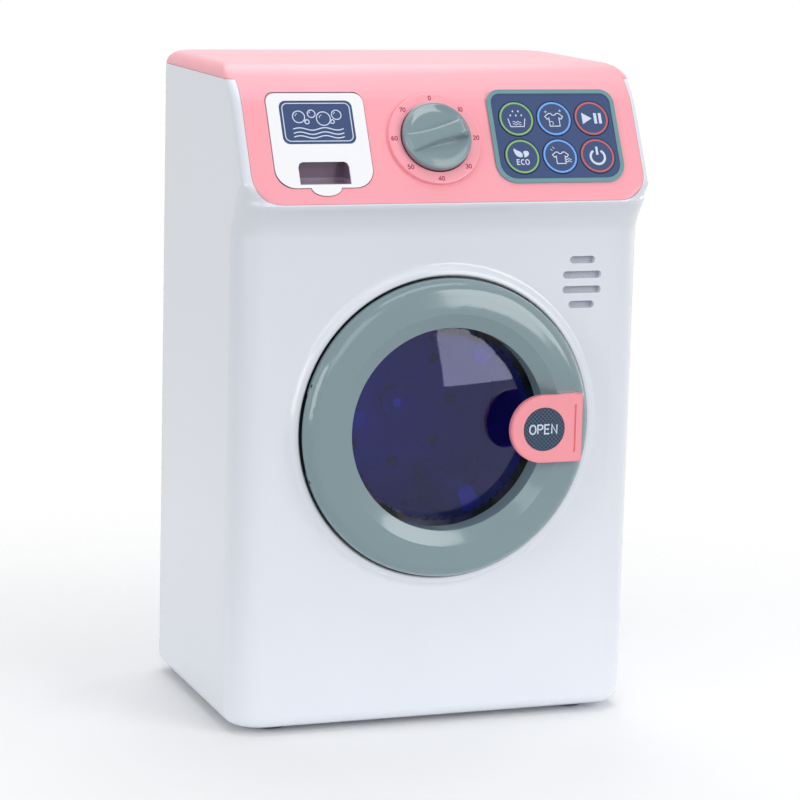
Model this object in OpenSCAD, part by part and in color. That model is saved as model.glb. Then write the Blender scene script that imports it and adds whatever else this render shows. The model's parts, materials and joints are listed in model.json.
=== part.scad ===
// Toy washing machine, about one third of the size of a kitchen one, in millimetres.
// Front towards -Y, up is +Z, z = 0 is the surface the rubber feet stand on.

/* [Cabinet] */
// Width across the side walls
body_w = 174.4; // [172:0.2:184]
// Depth from the flat front wall to the back
body_d = 118; // [116:1:128]
// Height of the top over the surface it stands on
body_h = 270; // [266:1:280]
// Thickness of the moulded walls
wall = 2.4; // [2.2:0.1:2.6]
// Radius of the upright front corners
corner_r = 15; // [12:0.5:16]
// Height of the rubber feet
foot_h = 3; // [2.5:0.5:4]

/* [Console] */
// Tilt of the control panel away from upright, in degrees
tilt = 28.5; // [27:0.5:30]
// How far the lower lip of the console stands out in front of the wall
lip_out = 7.6; // [6.5:0.1:8.5]
// Height from the lower edge of the pink panel to the top of the cabinet
console_h = 52.3; // [51.5:0.1:53.5]
// Side of the square front of the detergent drawer
drawer_w = 40.5; // [39:0.5:41]
// How far the detergent drawer pulls out
drawer_travel = 34; // [20:1:35]
// Radius of the timer knob
knob_r = 14.7; // [13.5:0.1:15.2]
// Radius of one round key
key_r = 7.5; // [7:0.1:7.6]

/* [Door] */
// Height of the middle of the door
door_z = 125.4; // [124:0.2:127]
// Radius of the outer edge of the door ring
door_r = 61.3; // [60.5:0.1:61.6]
// Radius of the round window
window_r = 41.5; // [40.5:0.1:42]
// How far the front of the handle stands out from the front wall
handle_out = 14.6; // [14.2:0.1:16]

/* [Drum and drive] */
// Outer radius of the turning drum
drum_r = 46; // [44.5:0.5:46.5]
// Length of the drum along its axis
drum_len = 56; // [50:1:56]
// Number of paddles inside the drum
paddle_count = 3; // [2:1:4]
// Teeth of the gear on the drum shaft
gear_teeth = 48; // [44:4:48]
// Teeth of the motor pinion
pinion_teeth = 12; // [12:1:14]

/* [Power] */
// Radius of one battery
battery_r = 7.1; // [7:0.05:7.2]
// Length of the body of one battery without its button
battery_len = 49.3; // [48.5:0.1:49.6]

/* [Hidden] */
white = [0.90, 0.92, 0.96];
pink = [1.0, 0.65, 0.70];
teal = [0.47, 0.57, 0.58];
navy = [0.20, 0.30, 0.48];
steel = [0.75, 0.76, 0.78];
black = [0.08, 0.08, 0.09];
grey = [0.62, 0.64, 0.67];
brass = [0.80, 0.66, 0.36];
green = [0.10, 0.42, 0.25];
red = [0.75, 0.10, 0.12];

half_w = body_w / 2;
front_y = -(body_d - handle_out) / 2;
fascia_z = body_h - console_h;
back_in = body_d - wall;
seam_y = body_d - 8;
seam_z = body_h - 5.5;
seam_gap = 0.2;
slack = 0.3;
fit = 0.05;
held = 0.02;
bite = 0.5;
far = 400;

// Shape of the cabinet skin, section by section.
edge_r = 5;
top_r = 6;
back_r = 8;
console_r = 4;
roll_r = 32;
arc_n = 6;
lip_h = 14.2;
lip_z = fascia_z - 0.5 - lip_h;
roll_z = body_h - roll_r;

function plane_y(z) = -lip_out + (z - fascia_z) * tan(tilt);
roll_y = plane_y(roll_z) + roll_r / cos(tilt);
function smooth(t) = let (c = min(1, max(0, t))) c * c * (3 - 2 * c);
function under_lip(z) = -(lip_out + 1) * pow(max(0, (z - lip_z) / lip_h), 1.6);
function soft_max(a, b, k) = (a + b) / 2 + sqrt(pow((a - b) / 2, 2) + k * k);
function front_at(z) = z <= lip_z ? 0
  : (z < lip_z + 11 ? under_lip(z)
  : (z < lip_z + 19 ? soft_max(under_lip(z), plane_y(z), 0.3) : plane_y(z)));
function corner_at(z) = corner_r - (corner_r - console_r) * smooth((z - fascia_z + 0.7) / 9);
function lean_at(z) = 1 + (1 / cos(tilt) - 1) * smooth((z - lip_z - 2) / 10);
function top_in(z) = z > body_h - top_r
  ? top_r - sqrt(max(0, top_r * top_r - pow(z - body_h + top_r, 2))) : 0;

function ring(z, f, hw, back, rc, rr) = concat(
  [for (i = [0:arc_n]) let (a = 90 * i / arc_n) [-hw + rc - rc * cos(a), f + rc - rc * sin(a), z]],
  [for (i = [0:arc_n]) let (a = 90 * i / arc_n) [hw - rc + rc * sin(a), f + rc - rc * cos(a), z]],
  [for (i = [0:arc_n]) let (a = 90 * i / arc_n) [hw - rr + rr * cos(a), back - rr + rr * sin(a), z]],
  [for (i = [0:arc_n]) let (a = 90 * i / arc_n) [-hw + rr - rr * sin(a), back - rr + rr * cos(a), z]]
);

low_z = [for (s = [0, 3.3, 6, 8.3, 10, 11]) lip_z + s];
lip_zs = [for (s = [12:1:19]) lip_z + s];
high_z = [lip_z + 21, lip_z + 23, roll_z + roll_r * sin(tilt) - 6];

function flat_ring(z, g, e) = ring(z, front_at(z) + e + g * lean_at(z), half_w - e - g,
  body_d - e - g, max(1, corner_at(z) - e - g), max(1, back_r - e - g));
function low_rings(g) = [for (a = [0:22.5:90]) let (re = edge_r - g)
  flat_ring(foot_h + g + re * (1 - cos(a)), g, re * (1 - sin(a)))];
function roll_rings(g) = [for (i = [0:8]) let (a = tilt + (90 - tilt) * i / 8,
  z = roll_z + (roll_r - g) * sin(a), e = top_in(z + g))
  ring(z, roll_y - (roll_r - g) * cos(a), half_w - e - g, body_d - e - g,
    max(1, console_r - g), max(1, back_r - g))];
function skin_rings(g) = concat(low_rings(g),
  [for (z = concat(low_z, lip_zs, high_z)) flat_ring(z, g, 0)], roll_rings(g));

module loft(rings) {
  n = len(rings[0]);
  m = len(rings);
  sides = [for (j = [0:m - 2]) for (i = [0:n - 1]) let (k = (i + 1) % n)
    each [[j * n + i, (j + 1) * n + i, (j + 1) * n + k], [j * n + i, (j + 1) * n + k, j * n + k]]];
  ends = [[for (i = [0:n - 1]) i], [for (i = [n - 1:-1:0]) (m - 1) * n + i]];
  polyhedron(points = [for (r = rings) each r], faces = concat(sides, ends), convexity = 6);
}

module skin() {
  difference() {
    loft(skin_rings(0));
    loft(skin_rings(wall));
  }
}

// Working frames: the body, the tilted panel, the door axis and a point on the back.
module at_body() {
  translate([0, front_y, 0]) children();
}

module on_panel() {
  translate([0, front_y - lip_out, fascia_z]) rotate([90 - tilt, 0, 0]) children();
}

module on_door() {
  translate([0, front_y, door_z]) rotate([90, 0, 0]) children();
}

module along_y(x, y, z) {
  translate([x, front_y + y, z]) rotate([-90, 0, 0]) children();
}

// Outline of a rounded rectangle about its middle, with one radius above and one below.
function soft_rect(w, h, rt, rb, n = 8) = concat(
  [for (i = [0:n]) let (a = 180 + 90 * i / n) [-w / 2 + rb + rb * cos(a), -h / 2 + rb + rb * sin(a)]],
  [for (i = [0:n]) let (a = 270 + 90 * i / n) [w / 2 - rb + rb * cos(a), -h / 2 + rb + rb * sin(a)]],
  [for (i = [0:n]) let (a = 90 * i / n) [w / 2 - rt + rt * cos(a), h / 2 - rt + rt * sin(a)]],
  [for (i = [0:n]) let (a = 90 + 90 * i / n) [-w / 2 + rt + rt * cos(a), h / 2 - rt + rt * sin(a)]]
);

// An outline given on the panel, seen level from the front, and a bar of any outline running level inwards.
function as_seen(pts, u, v) = [for (q = pts) [u + q[0], fascia_z + (v + q[1]) * cos(tilt)]];
function oval(rx, ry) = [for (a = [0:12:348]) [rx * cos(a), ry * sin(a)]];

module inward(pts, y0, y1) {
  translate([0, front_y + y1, 0]) rotate([90, 0, 0]) linear_extrude(height = y1 - y0) polygon(pts);
}

module plate(w, h, rt, rb, t) {
  linear_extrude(height = t) polygon(soft_rect(w, h, rt, rb));
}

module tube(r_out, r_in, h) {
  difference() {
    cylinder(r = r_out, h = h, $fn = 64);
    translate([0, 0, -1]) cylinder(r = r_in, h = h + 2, $fn = 64);
  }
}

// A cross-head screw along the local z axis, the underside of its head at z = 0, its point below.
module screw(r, length, head_r, head_h) {
  difference() {
    union() {
      translate([0, 0, -length]) cylinder(r = r, h = length + 0.1, $fn = 24);
      cylinder(r1 = head_r, r2 = head_r * 0.8, h = head_h, $fn = 32);
    }
    translate([0, 0, head_h]) cube([head_r * 1.1, 0.6, 1.2], center = true);
    translate([0, 0, head_h]) cube([0.6, head_r * 1.1, 1.2], center = true);
  }
}

// Places on the tilted panel: u across, v up along the panel.
drawer_u = -(half_w - 33.8);
drawer_v = 27.2;
drawer_rt = 4;
drawer_rb = 8;
knob_u = -5.3;
knob_v = 27;
dial_r = knob_r + 4.9;
dial_h = 1.8;
pad_u = half_w - 39.7;
pad_v = 28.1;
pad_w = 56;
pad_h = 40.8;
pad_rt = 6;
pad_rb = 8.5;
pad_rim = 1.8;
key_u = pad_u + 0.4;
key_v = 27.4;
key_pitch = 16.5;
panel_half = half_w - 3.7;
panel_rb = 12;
cap_t = wall;

board_u = pad_u;
board_v = 27.5;
board_dx = 29.4;
board_dy = 15;
board_w = 2 * board_dx + 5.2;
board_h = 2 * board_dy + 5.2;
board_back = -12.6;
board_t = 1.6;
board_boss_r = 2.2;

hook_us = [-24, 12, half_w - 25.2];
hook_w = 8;
ledge_t = 1.6;
ledge_top = -cap_t - 1;
ledge_half = half_w - 11.2;
side_ledge_y = 45;
side_ledge_len = body_d - side_ledge_y - 17;

module cap_region(g) {
  on_panel() translate([0, 50 - g, -16]) linear_extrude(height = 40)
    polygon(soft_rect(2 * (panel_half + g), 100, 1, panel_rb + g));
  translate([-far / 2, -far / 2, seam_z - g]) cube([far, far, 100]);
}

cap_post_x = half_w - 19.2;
cap_post_y = body_d - 22;
cap_post_r = 3.5;
cap_post_z = body_h - 27;
bracket_t = 2.4;

module cap_hook() {
  translate([-hook_w / 2, 3.8, -cap_t - 4.4]) cube([hook_w, 1.8, 4.6]);
  translate([-hook_w / 2, 0.6, -cap_t - 4.5]) cube([hook_w, 5, 1.8]);
}

guide_boss = [[-1, 1], [1, 1], [-1, -1], [1, -1]];
guide_du = drawer_w / 2 + 2.7;
guide_dv = 13;

module top_cap() {
  color(pink) difference() {
    union() {
      intersection() {
        at_body() skin();
        cap_region(0);
      }
      on_panel() {
        translate([knob_u, knob_v, -bite]) rotate_extrude($fn = 96)
          polygon([[0, 0], [dial_r, 0], [dial_r, bite + dial_h - 0.7], [dial_r - 0.2, bite + dial_h - 0.3],
            [dial_r - 0.8, bite + dial_h], [0, bite + dial_h]]);
        for (u = hook_us) translate([u, 0, 0]) cap_hook();
        for (sx = [-1, 1]) for (sy = [-1, 1])
          translate([board_u + sx * board_dx, board_v + sy * board_dy, board_back + board_t])
            cylinder(r = board_boss_r, h = -board_back - board_t - cap_t + bite, $fn = 32);
        for (s = guide_boss) translate([drawer_u + s[0] * guide_du, drawer_v + s[1] * guide_dv, -5.6])
          cylinder(r = 1.9, h = 5.6 - cap_t + bite, $fn = 32);
      }
      for (sx = [-1, 1]) translate([sx * cap_post_x, front_y + cap_post_y, cap_post_z])
        cylinder(r = cap_post_r, h = body_h - wall - cap_post_z + bite, $fn = 32);
    }
    on_panel() {
      translate([knob_u, knob_v, -10]) cylinder(r = knob_stem_r + fit, h = 20, $fn = 48);
      translate([pad_u, pad_v, -10])
        plate(pad_w - 2 + 0.2, pad_h - 2 + 0.2, pad_rt - 1, pad_rb - 1, 20);
      for (sx = [-1, 1]) for (sy = [-1, 1])
        translate([board_u + sx * board_dx, board_v + sy * board_dy, board_back + board_t - 1])
          cylinder(r = 1.05, h = 7, $fn = 24);
      for (s = guide_boss) translate([drawer_u + s[0] * guide_du, drawer_v + s[1] * guide_dv, -6.6])
        cylinder(r = 0.85, h = 4.6, $fn = 24);
    }
    drawer_bar(drawer_gap);
    for (sx = [-1, 1]) translate([sx * cap_post_x, front_y + cap_post_y, cap_post_z - 1])
      cylinder(r = 1.55, h = 12, $fn = 24);
  }
}

cap_screw_len = 9;

module cap_screws() {
  color(steel) for (sx = [-1, 1])
    translate([sx * cap_post_x, front_y + cap_post_y, cap_post_z - bracket_t - 0.1]) rotate([180, 0, 0])
      screw(1.5, cap_screw_len, 3, 2);
}

// Front of the cabinet: round opening, raised collar, hinge lugs, catch slot and speaker slots.
open_r = 49.4;
neck_t = 1.2;
neck_end = 5.4;
peg_r = 0.85;
collar_r = door_r + 0.8;
hinge_x = -(door_r - 3.9);
hinge_d = 4.4;
pin_r = 0.8;
lug_r = 1.5;
lug_in = 4.2;
lug_out = 7.4;
skirt_cut = 16;
nub_x = 52;
nub_w = 3.5;
nub_h = 10;
speaker_x = half_w - 28.2;
speaker_z = door_z + 57.8;
speaker_r = 14;
slot_widths = [11.2, 17, 17, 11.2];
slot_h = 3;
slot_pitch = 6.15;
boss_angles = [38, 142, 218, 322];
boss_at = 59;
tub_ear_y = 9;
rear_posts = [[-1, 20], [1, 20], [-1, 135], [1, 135], [-1, body_h - 22], [1, body_h - 22]];
post_x = half_w - 8.2;
post_r = 4;
post_len = 26;
foot_x = half_w - 21.2;
foot_ys = [18, body_d - 22];

module collar() {
  on_door() rotate_extrude($fn = 180) polygon([[collar_r, -bite], [collar_r, 1.7], [collar_r + 0.5, 2.2],
    [collar_r + 1.6, 2.2], [collar_r + 2.5, 1.8], [collar_r + 3.2, 1], [collar_r + 3.8, 0.4],
    [collar_r + 4.6, 0.1], [collar_r + 5.4, -0.05], [collar_r + 5.4, -bite]]);
}

// A lug's eye stands on an arm that leans inwards, out of the way of the door's rim as it swings.
module hinge_lug(s) {
  on_door() translate([hinge_x, s * (lug_in + lug_out) / 2, hinge_d]) rotate([90, 0, 0]) {
    cylinder(r = lug_r, h = lug_out - lug_in, center = true, $fn = 32);
    linear_extrude(height = lug_out - lug_in, center = true)
      polygon([[1, -1.1], [2.9, -3.3], [2.9, -hinge_d - bite], [6, -hinge_d - bite], [6, -3], [1.1, 1]]);
  }
}

module slot_shape(w) {
  square([w - slot_h, slot_h], center = true);
  for (s = [-1, 1]) translate([s * (w - slot_h) / 2, 0]) circle(d = slot_h, $fn = 32);
}

module front_shell() {
  color(white) difference() {
    union() {
      difference() {
        at_body() skin();
        translate([-far / 2, front_y + seam_y, -1]) cube([far, 60, far]);
        cap_region(0.15);
      }
      collar();
      for (s = [-1, 1]) hinge_lug(s);
      along_y(0, wall - bite, door_z) tube(open_r + neck_t, open_r, neck_end - wall + bite);
      for (s = [-1, 1]) on_door() translate([nub_x + 2, s * (nub_h / 2 + 5), -wall - 1.8])
        cylinder(r = peg_r, h = 1.8 + bite, $fn = 24);
      along_y(speaker_x, wall - bite, speaker_z) tube(speaker_r + 1.9, speaker_r + 0.3, 6);
      for (a = boss_angles) along_y(boss_at * cos(a), wall - bite, door_z + boss_at * sin(a))
        cylinder(r = 3.4, h = tub_ear_y - wall + bite, $fn = 32);
      for (p = rear_posts) {
        along_y(p[0] * post_x, seam_y - post_len, p[1]) cylinder(r = post_r, h = post_len, $fn = 32);
        translate([p[0] * (post_x + half_w - wall / 2) / 2, front_y + seam_y - post_len / 2, p[1]])
          cube([half_w - wall / 2 - post_x, post_len, 2.4], center = true);
      }
      on_panel() translate([-ledge_half, -1, ledge_top - ledge_t]) cube([2 * ledge_half, 4.4, ledge_t]);
      for (s = [-1, 1]) on_panel() translate([s * (half_w - 4.3) - 2.5, 12, ledge_top - ledge_t])
        cube([5, 27, ledge_t]);
      for (s = [-1, 1]) {
        translate([s * (cap_post_x + 9.2) - 9.3, front_y + cap_post_y - 6, cap_post_z - bracket_t - 0.1])
          cube([18.6, 12, bracket_t]);
        translate([s * (half_w - wall - 1.5) - 1.7, front_y + side_ledge_y, seam_z - 7])
          cube([3.4, side_ledge_len, 6.8]);
        translate([s * (half_w - wall - 2.5) - 0.9, front_y + side_ledge_y, seam_z - 7])
          cube([1.8, side_ledge_len, 7.9]);
      }
    }
    on_door() {
      translate([0, 0, -30]) cylinder(r = open_r, h = 40, $fn = 120);
      translate([nub_x - 1.2, -nub_h / 2 - 0.6, -10]) cube([nub_w + 2.6, nub_h + 1.2, 20]);
      translate([hinge_x, 0, hinge_d]) rotate([90, 0, 0])
        cylinder(r = pin_r + held, h = 2 * lug_out + 1, center = true, $fn = 24);
      for (i = [0:3]) translate([speaker_x, speaker_z - door_z + (1.5 - i) * slot_pitch, -10])
        linear_extrude(height = 20) slot_shape(slot_widths[i]);
    }
    for (a = boss_angles) along_y(boss_at * cos(a), wall + 0.6, door_z + boss_at * sin(a))
      cylinder(r = 1.25, h = 20, $fn = 24);
    for (p = rear_posts) along_y(p[0] * post_x, seam_y - 14, p[1]) cylinder(r = 1.55, h = 20, $fn = 24);
    for (sx = [-1, 1]) for (y = foot_ys) translate([sx * foot_x, front_y + y, 0])
      cylinder(r = 2 + held, h = 12, $fn = 32);
    for (sx = [-1, 1]) translate([sx * cap_post_x, front_y + cap_post_y, cap_post_z - 10])
      cylinder(r = 1.7, h = 12, $fn = 24);
  }
}

module feet() {
  color(grey) for (sx = [-1, 1]) for (y = foot_ys) translate([sx * foot_x, front_y + y, 0]) {
    rotate_extrude($fn = 48) polygon([[0, 0], [6.4, 0], [7, 0.8], [7, foot_h], [2, foot_h],
      [2, foot_h + wall], [2.6, foot_h + wall + 0.1], [1.6, foot_h + wall + 2], [0, foot_h + wall + 2]]);
  }
}

// Back of the cabinet with the battery box and the power switch.
bay_w = 6 * battery_r + 5;
bay_z0 = 18;
bay_h = battery_len + 8.7;
bay_y = body_d - 19.6;
lid_w = bay_w + 4;
lid_t = 2;
lid_z0 = bay_z0 - 3.4;
lid_top = bay_z0 + bay_h + 8.4;
lid_h = lid_top - lid_z0;
lid_screw_z = bay_z0 + bay_h + 4.6;
switch_x = half_w - 37.2;
switch_z = 47;
switch_travel = 4;

module battery_box() {
  translate([-bay_w / 2 - 1.8, front_y + bay_y - 1.8, bay_z0 - 1.8])
    cube([bay_w + 3.6, body_d - bay_y - 1, bay_h + 3.6]);
  translate([-lid_w / 2 - 2, front_y + body_d - 4.4, lid_z0 - 2]) cube([lid_w + 4, 3.4, lid_h + 4]);
  along_y(0, body_d - 11, lid_screw_z) cylinder(r = 3.4, h = 9, $fn = 32);
}

module battery_hollow() {
  translate([-bay_w / 2, front_y + bay_y, bay_z0]) cube([bay_w, 40, bay_h]);
  along_y(0, body_d - lid_t - 0.1, lid_z0 + lid_h / 2) plate(lid_w + 0.4, lid_h + 0.4, 2, 2, 10);
  for (s = [-1, 1]) translate([s * 14 - 4.2, front_y + body_d - 4.1, lid_z0 + 0.1]) cube([8.4, 4, 2.8]);
  along_y(0, body_d - 9.5, lid_screw_z) cylinder(r = 1.3, h = 20, $fn = 24);
}

module rear_cover() {
  color(white) difference() {
    union() {
      difference() {
        at_body() skin();
        translate([-far / 2, front_y - 60, -1]) cube([far, 60 + seam_y + seam_gap, far]);
        translate([-far / 2, -far / 2, seam_z - seam_gap]) cube([far, far, 100]);
      }
      for (p = rear_posts) along_y(p[0] * post_x, seam_y + seam_gap, p[1])
        cylinder(r = 4.4, h = body_d - seam_y - seam_gap - 1, $fn = 32);
      battery_box();
      translate([switch_x - 8, front_y + back_in - 1, switch_z - 11]) cube([16, 1.6, 22]);
    }
    for (p = rear_posts) {
      along_y(p[0] * post_x, seam_y - 1, p[1]) cylinder(r = 1.7, h = 20, $fn = 24);
      along_y(p[0] * post_x, seam_y + 3, p[1]) cylinder(r = 3.3, h = 20, $fn = 32);
    }
    battery_hollow();
    translate([switch_x - 6, front_y + body_d - 1.2, switch_z - 8]) cube([12, 5, 16]);
    translate([switch_x - 2.4, front_y + body_d - 8, switch_z - 2 - switch_travel / 2 - slack])
      cube([4.8, 12, 4 + switch_travel + 2 * slack]);
    for (z = [door_z + 20 : 8 : door_z + 60]) translate([-24, front_y + body_d - 6, z]) cube([48, 12, 2.4]);
  }
}

module rear_screws() {
  color(steel) for (p = rear_posts) along_y(p[0] * post_x, seam_y + 3, p[1]) screw(1.5, 15, 2.8, 1.8);
}

module battery_cover() {
  color(white) difference() {
    union() {
      along_y(0, body_d - lid_t, lid_z0 + lid_h / 2) plate(lid_w, lid_h, 1.8, 1.8, lid_t);
      for (s = [-1, 1]) translate([s * 14 - 3.8, front_y + body_d - 3.8, lid_z0 + 0.4])
        cube([7.6, 2.2, 2.2]);
      for (x = [-1, 0, 1]) translate([x * (2 * battery_r + 1.4) - 0.7, front_y + body_d - 4.2, bay_z0 + 8])
        cube([1.4, 2.4, bay_h - 20]);
    }
    along_y(0, body_d - 8, lid_screw_z) cylinder(r = 1.7, h = 20, $fn = 24);
    along_y(0, body_d - 1.4, lid_screw_z) cylinder(r = 3.1, h = 20, $fn = 32);
    for (i = [0:4]) translate([-8, front_y + body_d - 0.4, lid_screw_z - 10 - 2.4 * i]) cube([16, 2, 1.1]);
  }
}

module battery_cover_screw() {
  color(steel) along_y(0, body_d - 1.4, lid_screw_z) screw(1.2, 6.4, 2.7, 1.2);
}

battery_gap = 2 * battery_r + 1.5;
battery_y = bay_y + battery_r + 0.3;

module battery(i) {
  up = i % 2 == 0;
  z0 = up ? bay_z0 + 6.2 : bay_z0 + bay_h - 6.2;
  color([0.16, 0.17, 0.19])
    translate([(i - 1) * battery_gap, front_y + battery_y, z0]) rotate([up ? 0 : 180, 0, 0]) {
      cylinder(r = battery_r, h = battery_len, $fn = 64);
      cylinder(r = 2.7, h = battery_len + 1, $fn = 32);
    }
}

function coil_pts(turns, r0, r1, h, n) = [for (i = [0:turns * n]) let (t = i / (turns * n), a = 360 * i / n)
  [(r0 + (r1 - r0) * t) * cos(a), (r0 + (r1 - r0) * t) * sin(a), h * t]];

// A round wire through a list of points, its rings carried along without twist.
function unit(v) = v / norm(v);
function dir_at(p, i) = unit(p[min(len(p) - 1, i + 1)] - p[max(0, i - 1)]);
function flatten_to(v, d) = unit(v - (v * d) * d);
function frames(p, v0) = [for (i = 0, n = flatten_to(v0, dir_at(p, 0)); i < len(p);
  i = i + 1, n = i < len(p) ? flatten_to(n, dir_at(p, i)) : n) n];

module wire(p, r, v0, sides = 8) {
  ns = frames(p, v0);
  pts = [for (i = [0:len(p) - 1]) let (d = dir_at(p, i), b = cross(d, ns[i]))
    for (k = [0:sides - 1]) let (a = 360 * k / sides) p[i] + r * (cos(a) * ns[i] + sin(a) * b)];
  m = len(p);
  around = [for (j = [0:m - 2]) for (k = [0:sides - 1]) let (q = (k + 1) % sides)
    each [[j * sides + k, (j + 1) * sides + q, j * sides + q],
      [j * sides + k, (j + 1) * sides + k, (j + 1) * sides + q]]];
  polyhedron(points = pts, faces = concat(around, [[for (k = [0:sides - 1]) k]],
    [[for (k = [sides - 1:-1:0]) (m - 1) * sides + k]]), convexity = 8);
}

function curve(p, n) = concat([for (i = [0:len(p) - 2]) let (a = p[max(0, i - 1)], b = p[i], c = p[i + 1],
  d = p[min(len(p) - 1, i + 2)]) for (k = [0:n - 1]) let (t = k / n)
  0.5 * (2 * b + (c - a) * t + (2 * a - 5 * b + 4 * c - d) * t * t + (3 * b - a - 3 * c + d) * t * t * t)],
  [p[len(p) - 1]]);

contact_t = 0.4;

module contact_plate(x, w, top) {
  translate([x - w / 2, front_y + battery_y - 5, top ? bay_z0 + bay_h - contact_t - 0.3 : bay_z0 + 0.3])
    cube([w, 10, contact_t]);
}

module battery_contacts() {
  color(steel) {
    for (i = [0:2]) {
      up = i % 2 == 0;
      x = (i - 1) * battery_gap;
      translate([x, front_y + battery_y, up ? bay_z0 + 0.7 : bay_z0 + bay_h - 0.7])
        rotate([up ? 0 : 180, 0, 0])
          wire([for (q = coil_pts(3, 4.6, 2.4, 4.7, 12)) q + [0, 0, 0.25]], 0.4, [0, 0, 1], 6);
    }
    contact_plate(-battery_gap, 10, false);
    contact_plate(battery_gap / 2, battery_gap + 10, false);
    contact_plate(-battery_gap / 2, battery_gap + 10, true);
    contact_plate(battery_gap, 10, true);
    for (i = [0:2]) {
      up = i % 2 == 0;
      x = (i - 1) * battery_gap;
      translate([x, front_y + battery_y, up ? bay_z0 + bay_h - 0.7 - 0.7 : bay_z0 + 0.7])
        cylinder(r = 3, h = 0.7, $fn = 24);
    }
  }
}

switch_body_y = back_in - 1 - 6.4;

module power_switch_body() {
  color(black) difference() {
    translate([switch_x - 4.5, front_y + switch_body_y, switch_z - 10]) cube([9, 6.3, 20]);
    translate([switch_x - 3.4, front_y + switch_body_y + 1.2, switch_z - 7]) cube([6.8, 4.2, 14]);
    translate([switch_x - 2.2, front_y + switch_body_y + 1, switch_z - 2.1 - switch_travel / 2 - slack])
      cube([4.4, 12, 4.2 + switch_travel + 2 * slack]);
  }
}

module power_switch_slider() {
  color(black) translate([switch_x, front_y, switch_z - switch_travel / 2]) {
    translate([-2, switch_body_y + 4, -2]) cube([4, body_d - 0.4 - switch_body_y - 4, 4]);
    translate([-2.9, switch_body_y + 1.8, -3.2]) cube([5.8, 2.6, 6.4]);
    for (z = [-1.4, 0, 1.4]) translate([-2, body_d - 0.5, z - 0.35]) cube([4, 0.6, 0.7]);
  }
}

// Detergent drawer, its printed label and the channel it runs in.
tray_w = 33;
tray_z0 = fascia_z + 11.5;
tray_h = 22;
tray_t = 1.6;
tray_end = 62;
plate_t = 2.6;
plate_out = 0.3;
label_w = 30.3;
label_h = 18.4;
label_v = 34.8;
notch_w = 21.2;
notch_v0 = 8.4;
notch_h = 9.6;
ear_w = 5;
ear_y = tray_end - 4;
roof_t = 1.6;

drawer_gap = 0.35;
scoop_w = 12.4;
scoop_h = 3.4;
notch_deep = 7.2;
notch_wall = 1.2;
notch_floor = 0.9;
notch_z0 = fascia_z + notch_v0 * cos(tilt);
notch_z1 = fascia_z + (notch_v0 + notch_h) * cos(tilt);

module drawer_bar(g) {
  inward(as_seen(soft_rect(drawer_w + 2 * g, drawer_w + 2 * g, drawer_rt, drawer_rb), drawer_u,
    drawer_v), -20, 40);
  inward(as_seen(oval(scoop_w / 2 + g, scoop_h + g), drawer_u, drawer_v - drawer_w / 2), -20, 40);
}

module notch_bar(g, floor_g, y1) {
  inward([[drawer_u - notch_w / 2 - g, notch_z0 - floor_g],
    [drawer_u + notch_w / 2 + g, notch_z0 - floor_g],
    [drawer_u + notch_w / 2 + g, notch_z1 + g - 2], [drawer_u + notch_w / 2 + g - 0.6, notch_z1 + g - 0.6],
    [drawer_u + notch_w / 2 + g - 2, notch_z1 + g], [drawer_u - notch_w / 2 - g + 2, notch_z1 + g],
    [drawer_u - notch_w / 2 - g + 0.6, notch_z1 + g - 0.6], [drawer_u - notch_w / 2 - g, notch_z1 + g - 2]],
    -30, y1);
}

module drawer() {
  color(white) difference() {
    union() {
      intersection() {
        drawer_bar(0);
        on_panel() translate([-100, -20, -plate_t]) cube([200, 100, plate_t + plate_out]);
      }
      difference() {
        union() {
          difference() {
            translate([drawer_u - tray_w / 2, front_y - 10, tray_z0]) cube([tray_w, tray_end + 10, tray_h]);
            translate([drawer_u - tray_w / 2 + tray_t, front_y - 20, tray_z0 + tray_t])
              cube([tray_w - 2 * tray_t, tray_end + 20 - tray_t, tray_h]);
          }
          notch_bar(notch_wall, notch_floor, notch_deep + notch_wall);
        }
        on_panel() translate([-100, -20, -plate_t + bite]) cube([200, 100, 40]);
      }
      translate([drawer_u - ear_w / 2, front_y + ear_y, tray_z0 + tray_h - 4]) cube([ear_w, 3, 4 + roof_t]);
    }
    notch_bar(0, 0, notch_deep);
    on_panel() translate([drawer_u, label_v, plate_out - 0.3])
      plate(label_w + 0.2, label_h + 0.2, 2.9, 2.9, 5);
  }
}

module drawer_label() {
  color(navy) on_panel() translate([drawer_u, label_v, plate_out - 0.3])
    plate(label_w, label_h, 2.8, 2.8, 0.35);
}

guide_gap = 0.5;
guide_end = tray_end + 1.2;
guide_t = 1.6;
flange_w = -5.8;

module drawer_guide() {
  color(white) difference() {
    union() {
      difference() {
        translate([drawer_u - tray_w / 2 - guide_gap - guide_t, front_y - 20,
          tray_z0 - guide_gap - guide_t])
          cube([tray_w + 2 * (guide_gap + guide_t), guide_end + 20 + guide_t,
            tray_h + 2 * (guide_gap + guide_t)]);
        on_panel() translate([-100, -30, flange_w - 0.8]) cube([200, 120, 60]);
      }
      on_panel() translate([drawer_u - guide_du - 2.2, drawer_v - guide_dv - 2.4, flange_w - 1.8])
        cube([2 * guide_du + 4.4, 2 * guide_dv + 4.8, 1.8]);
    }
    translate([drawer_u - tray_w / 2 - guide_gap, front_y - 30, tray_z0 - guide_gap])
      cube([tray_w + 2 * guide_gap, guide_end + 30, tray_h + 2 * guide_gap]);
    translate([drawer_u - ear_w / 2 - 0.4, front_y + ear_y - drawer_travel - 0.4, tray_z0 + tray_h - 1])
      cube([ear_w + 0.8, drawer_travel + 4.2, 6]);
    notch_bar(notch_wall + 0.6, notch_floor + 2, notch_deep + notch_wall + 0.6);
    on_panel() for (s = guide_boss) translate([drawer_u + s[0] * guide_du, drawer_v + s[1] * guide_dv, -12])
      cylinder(r = 1.1, h = 10, $fn = 24);
  }
}

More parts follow.
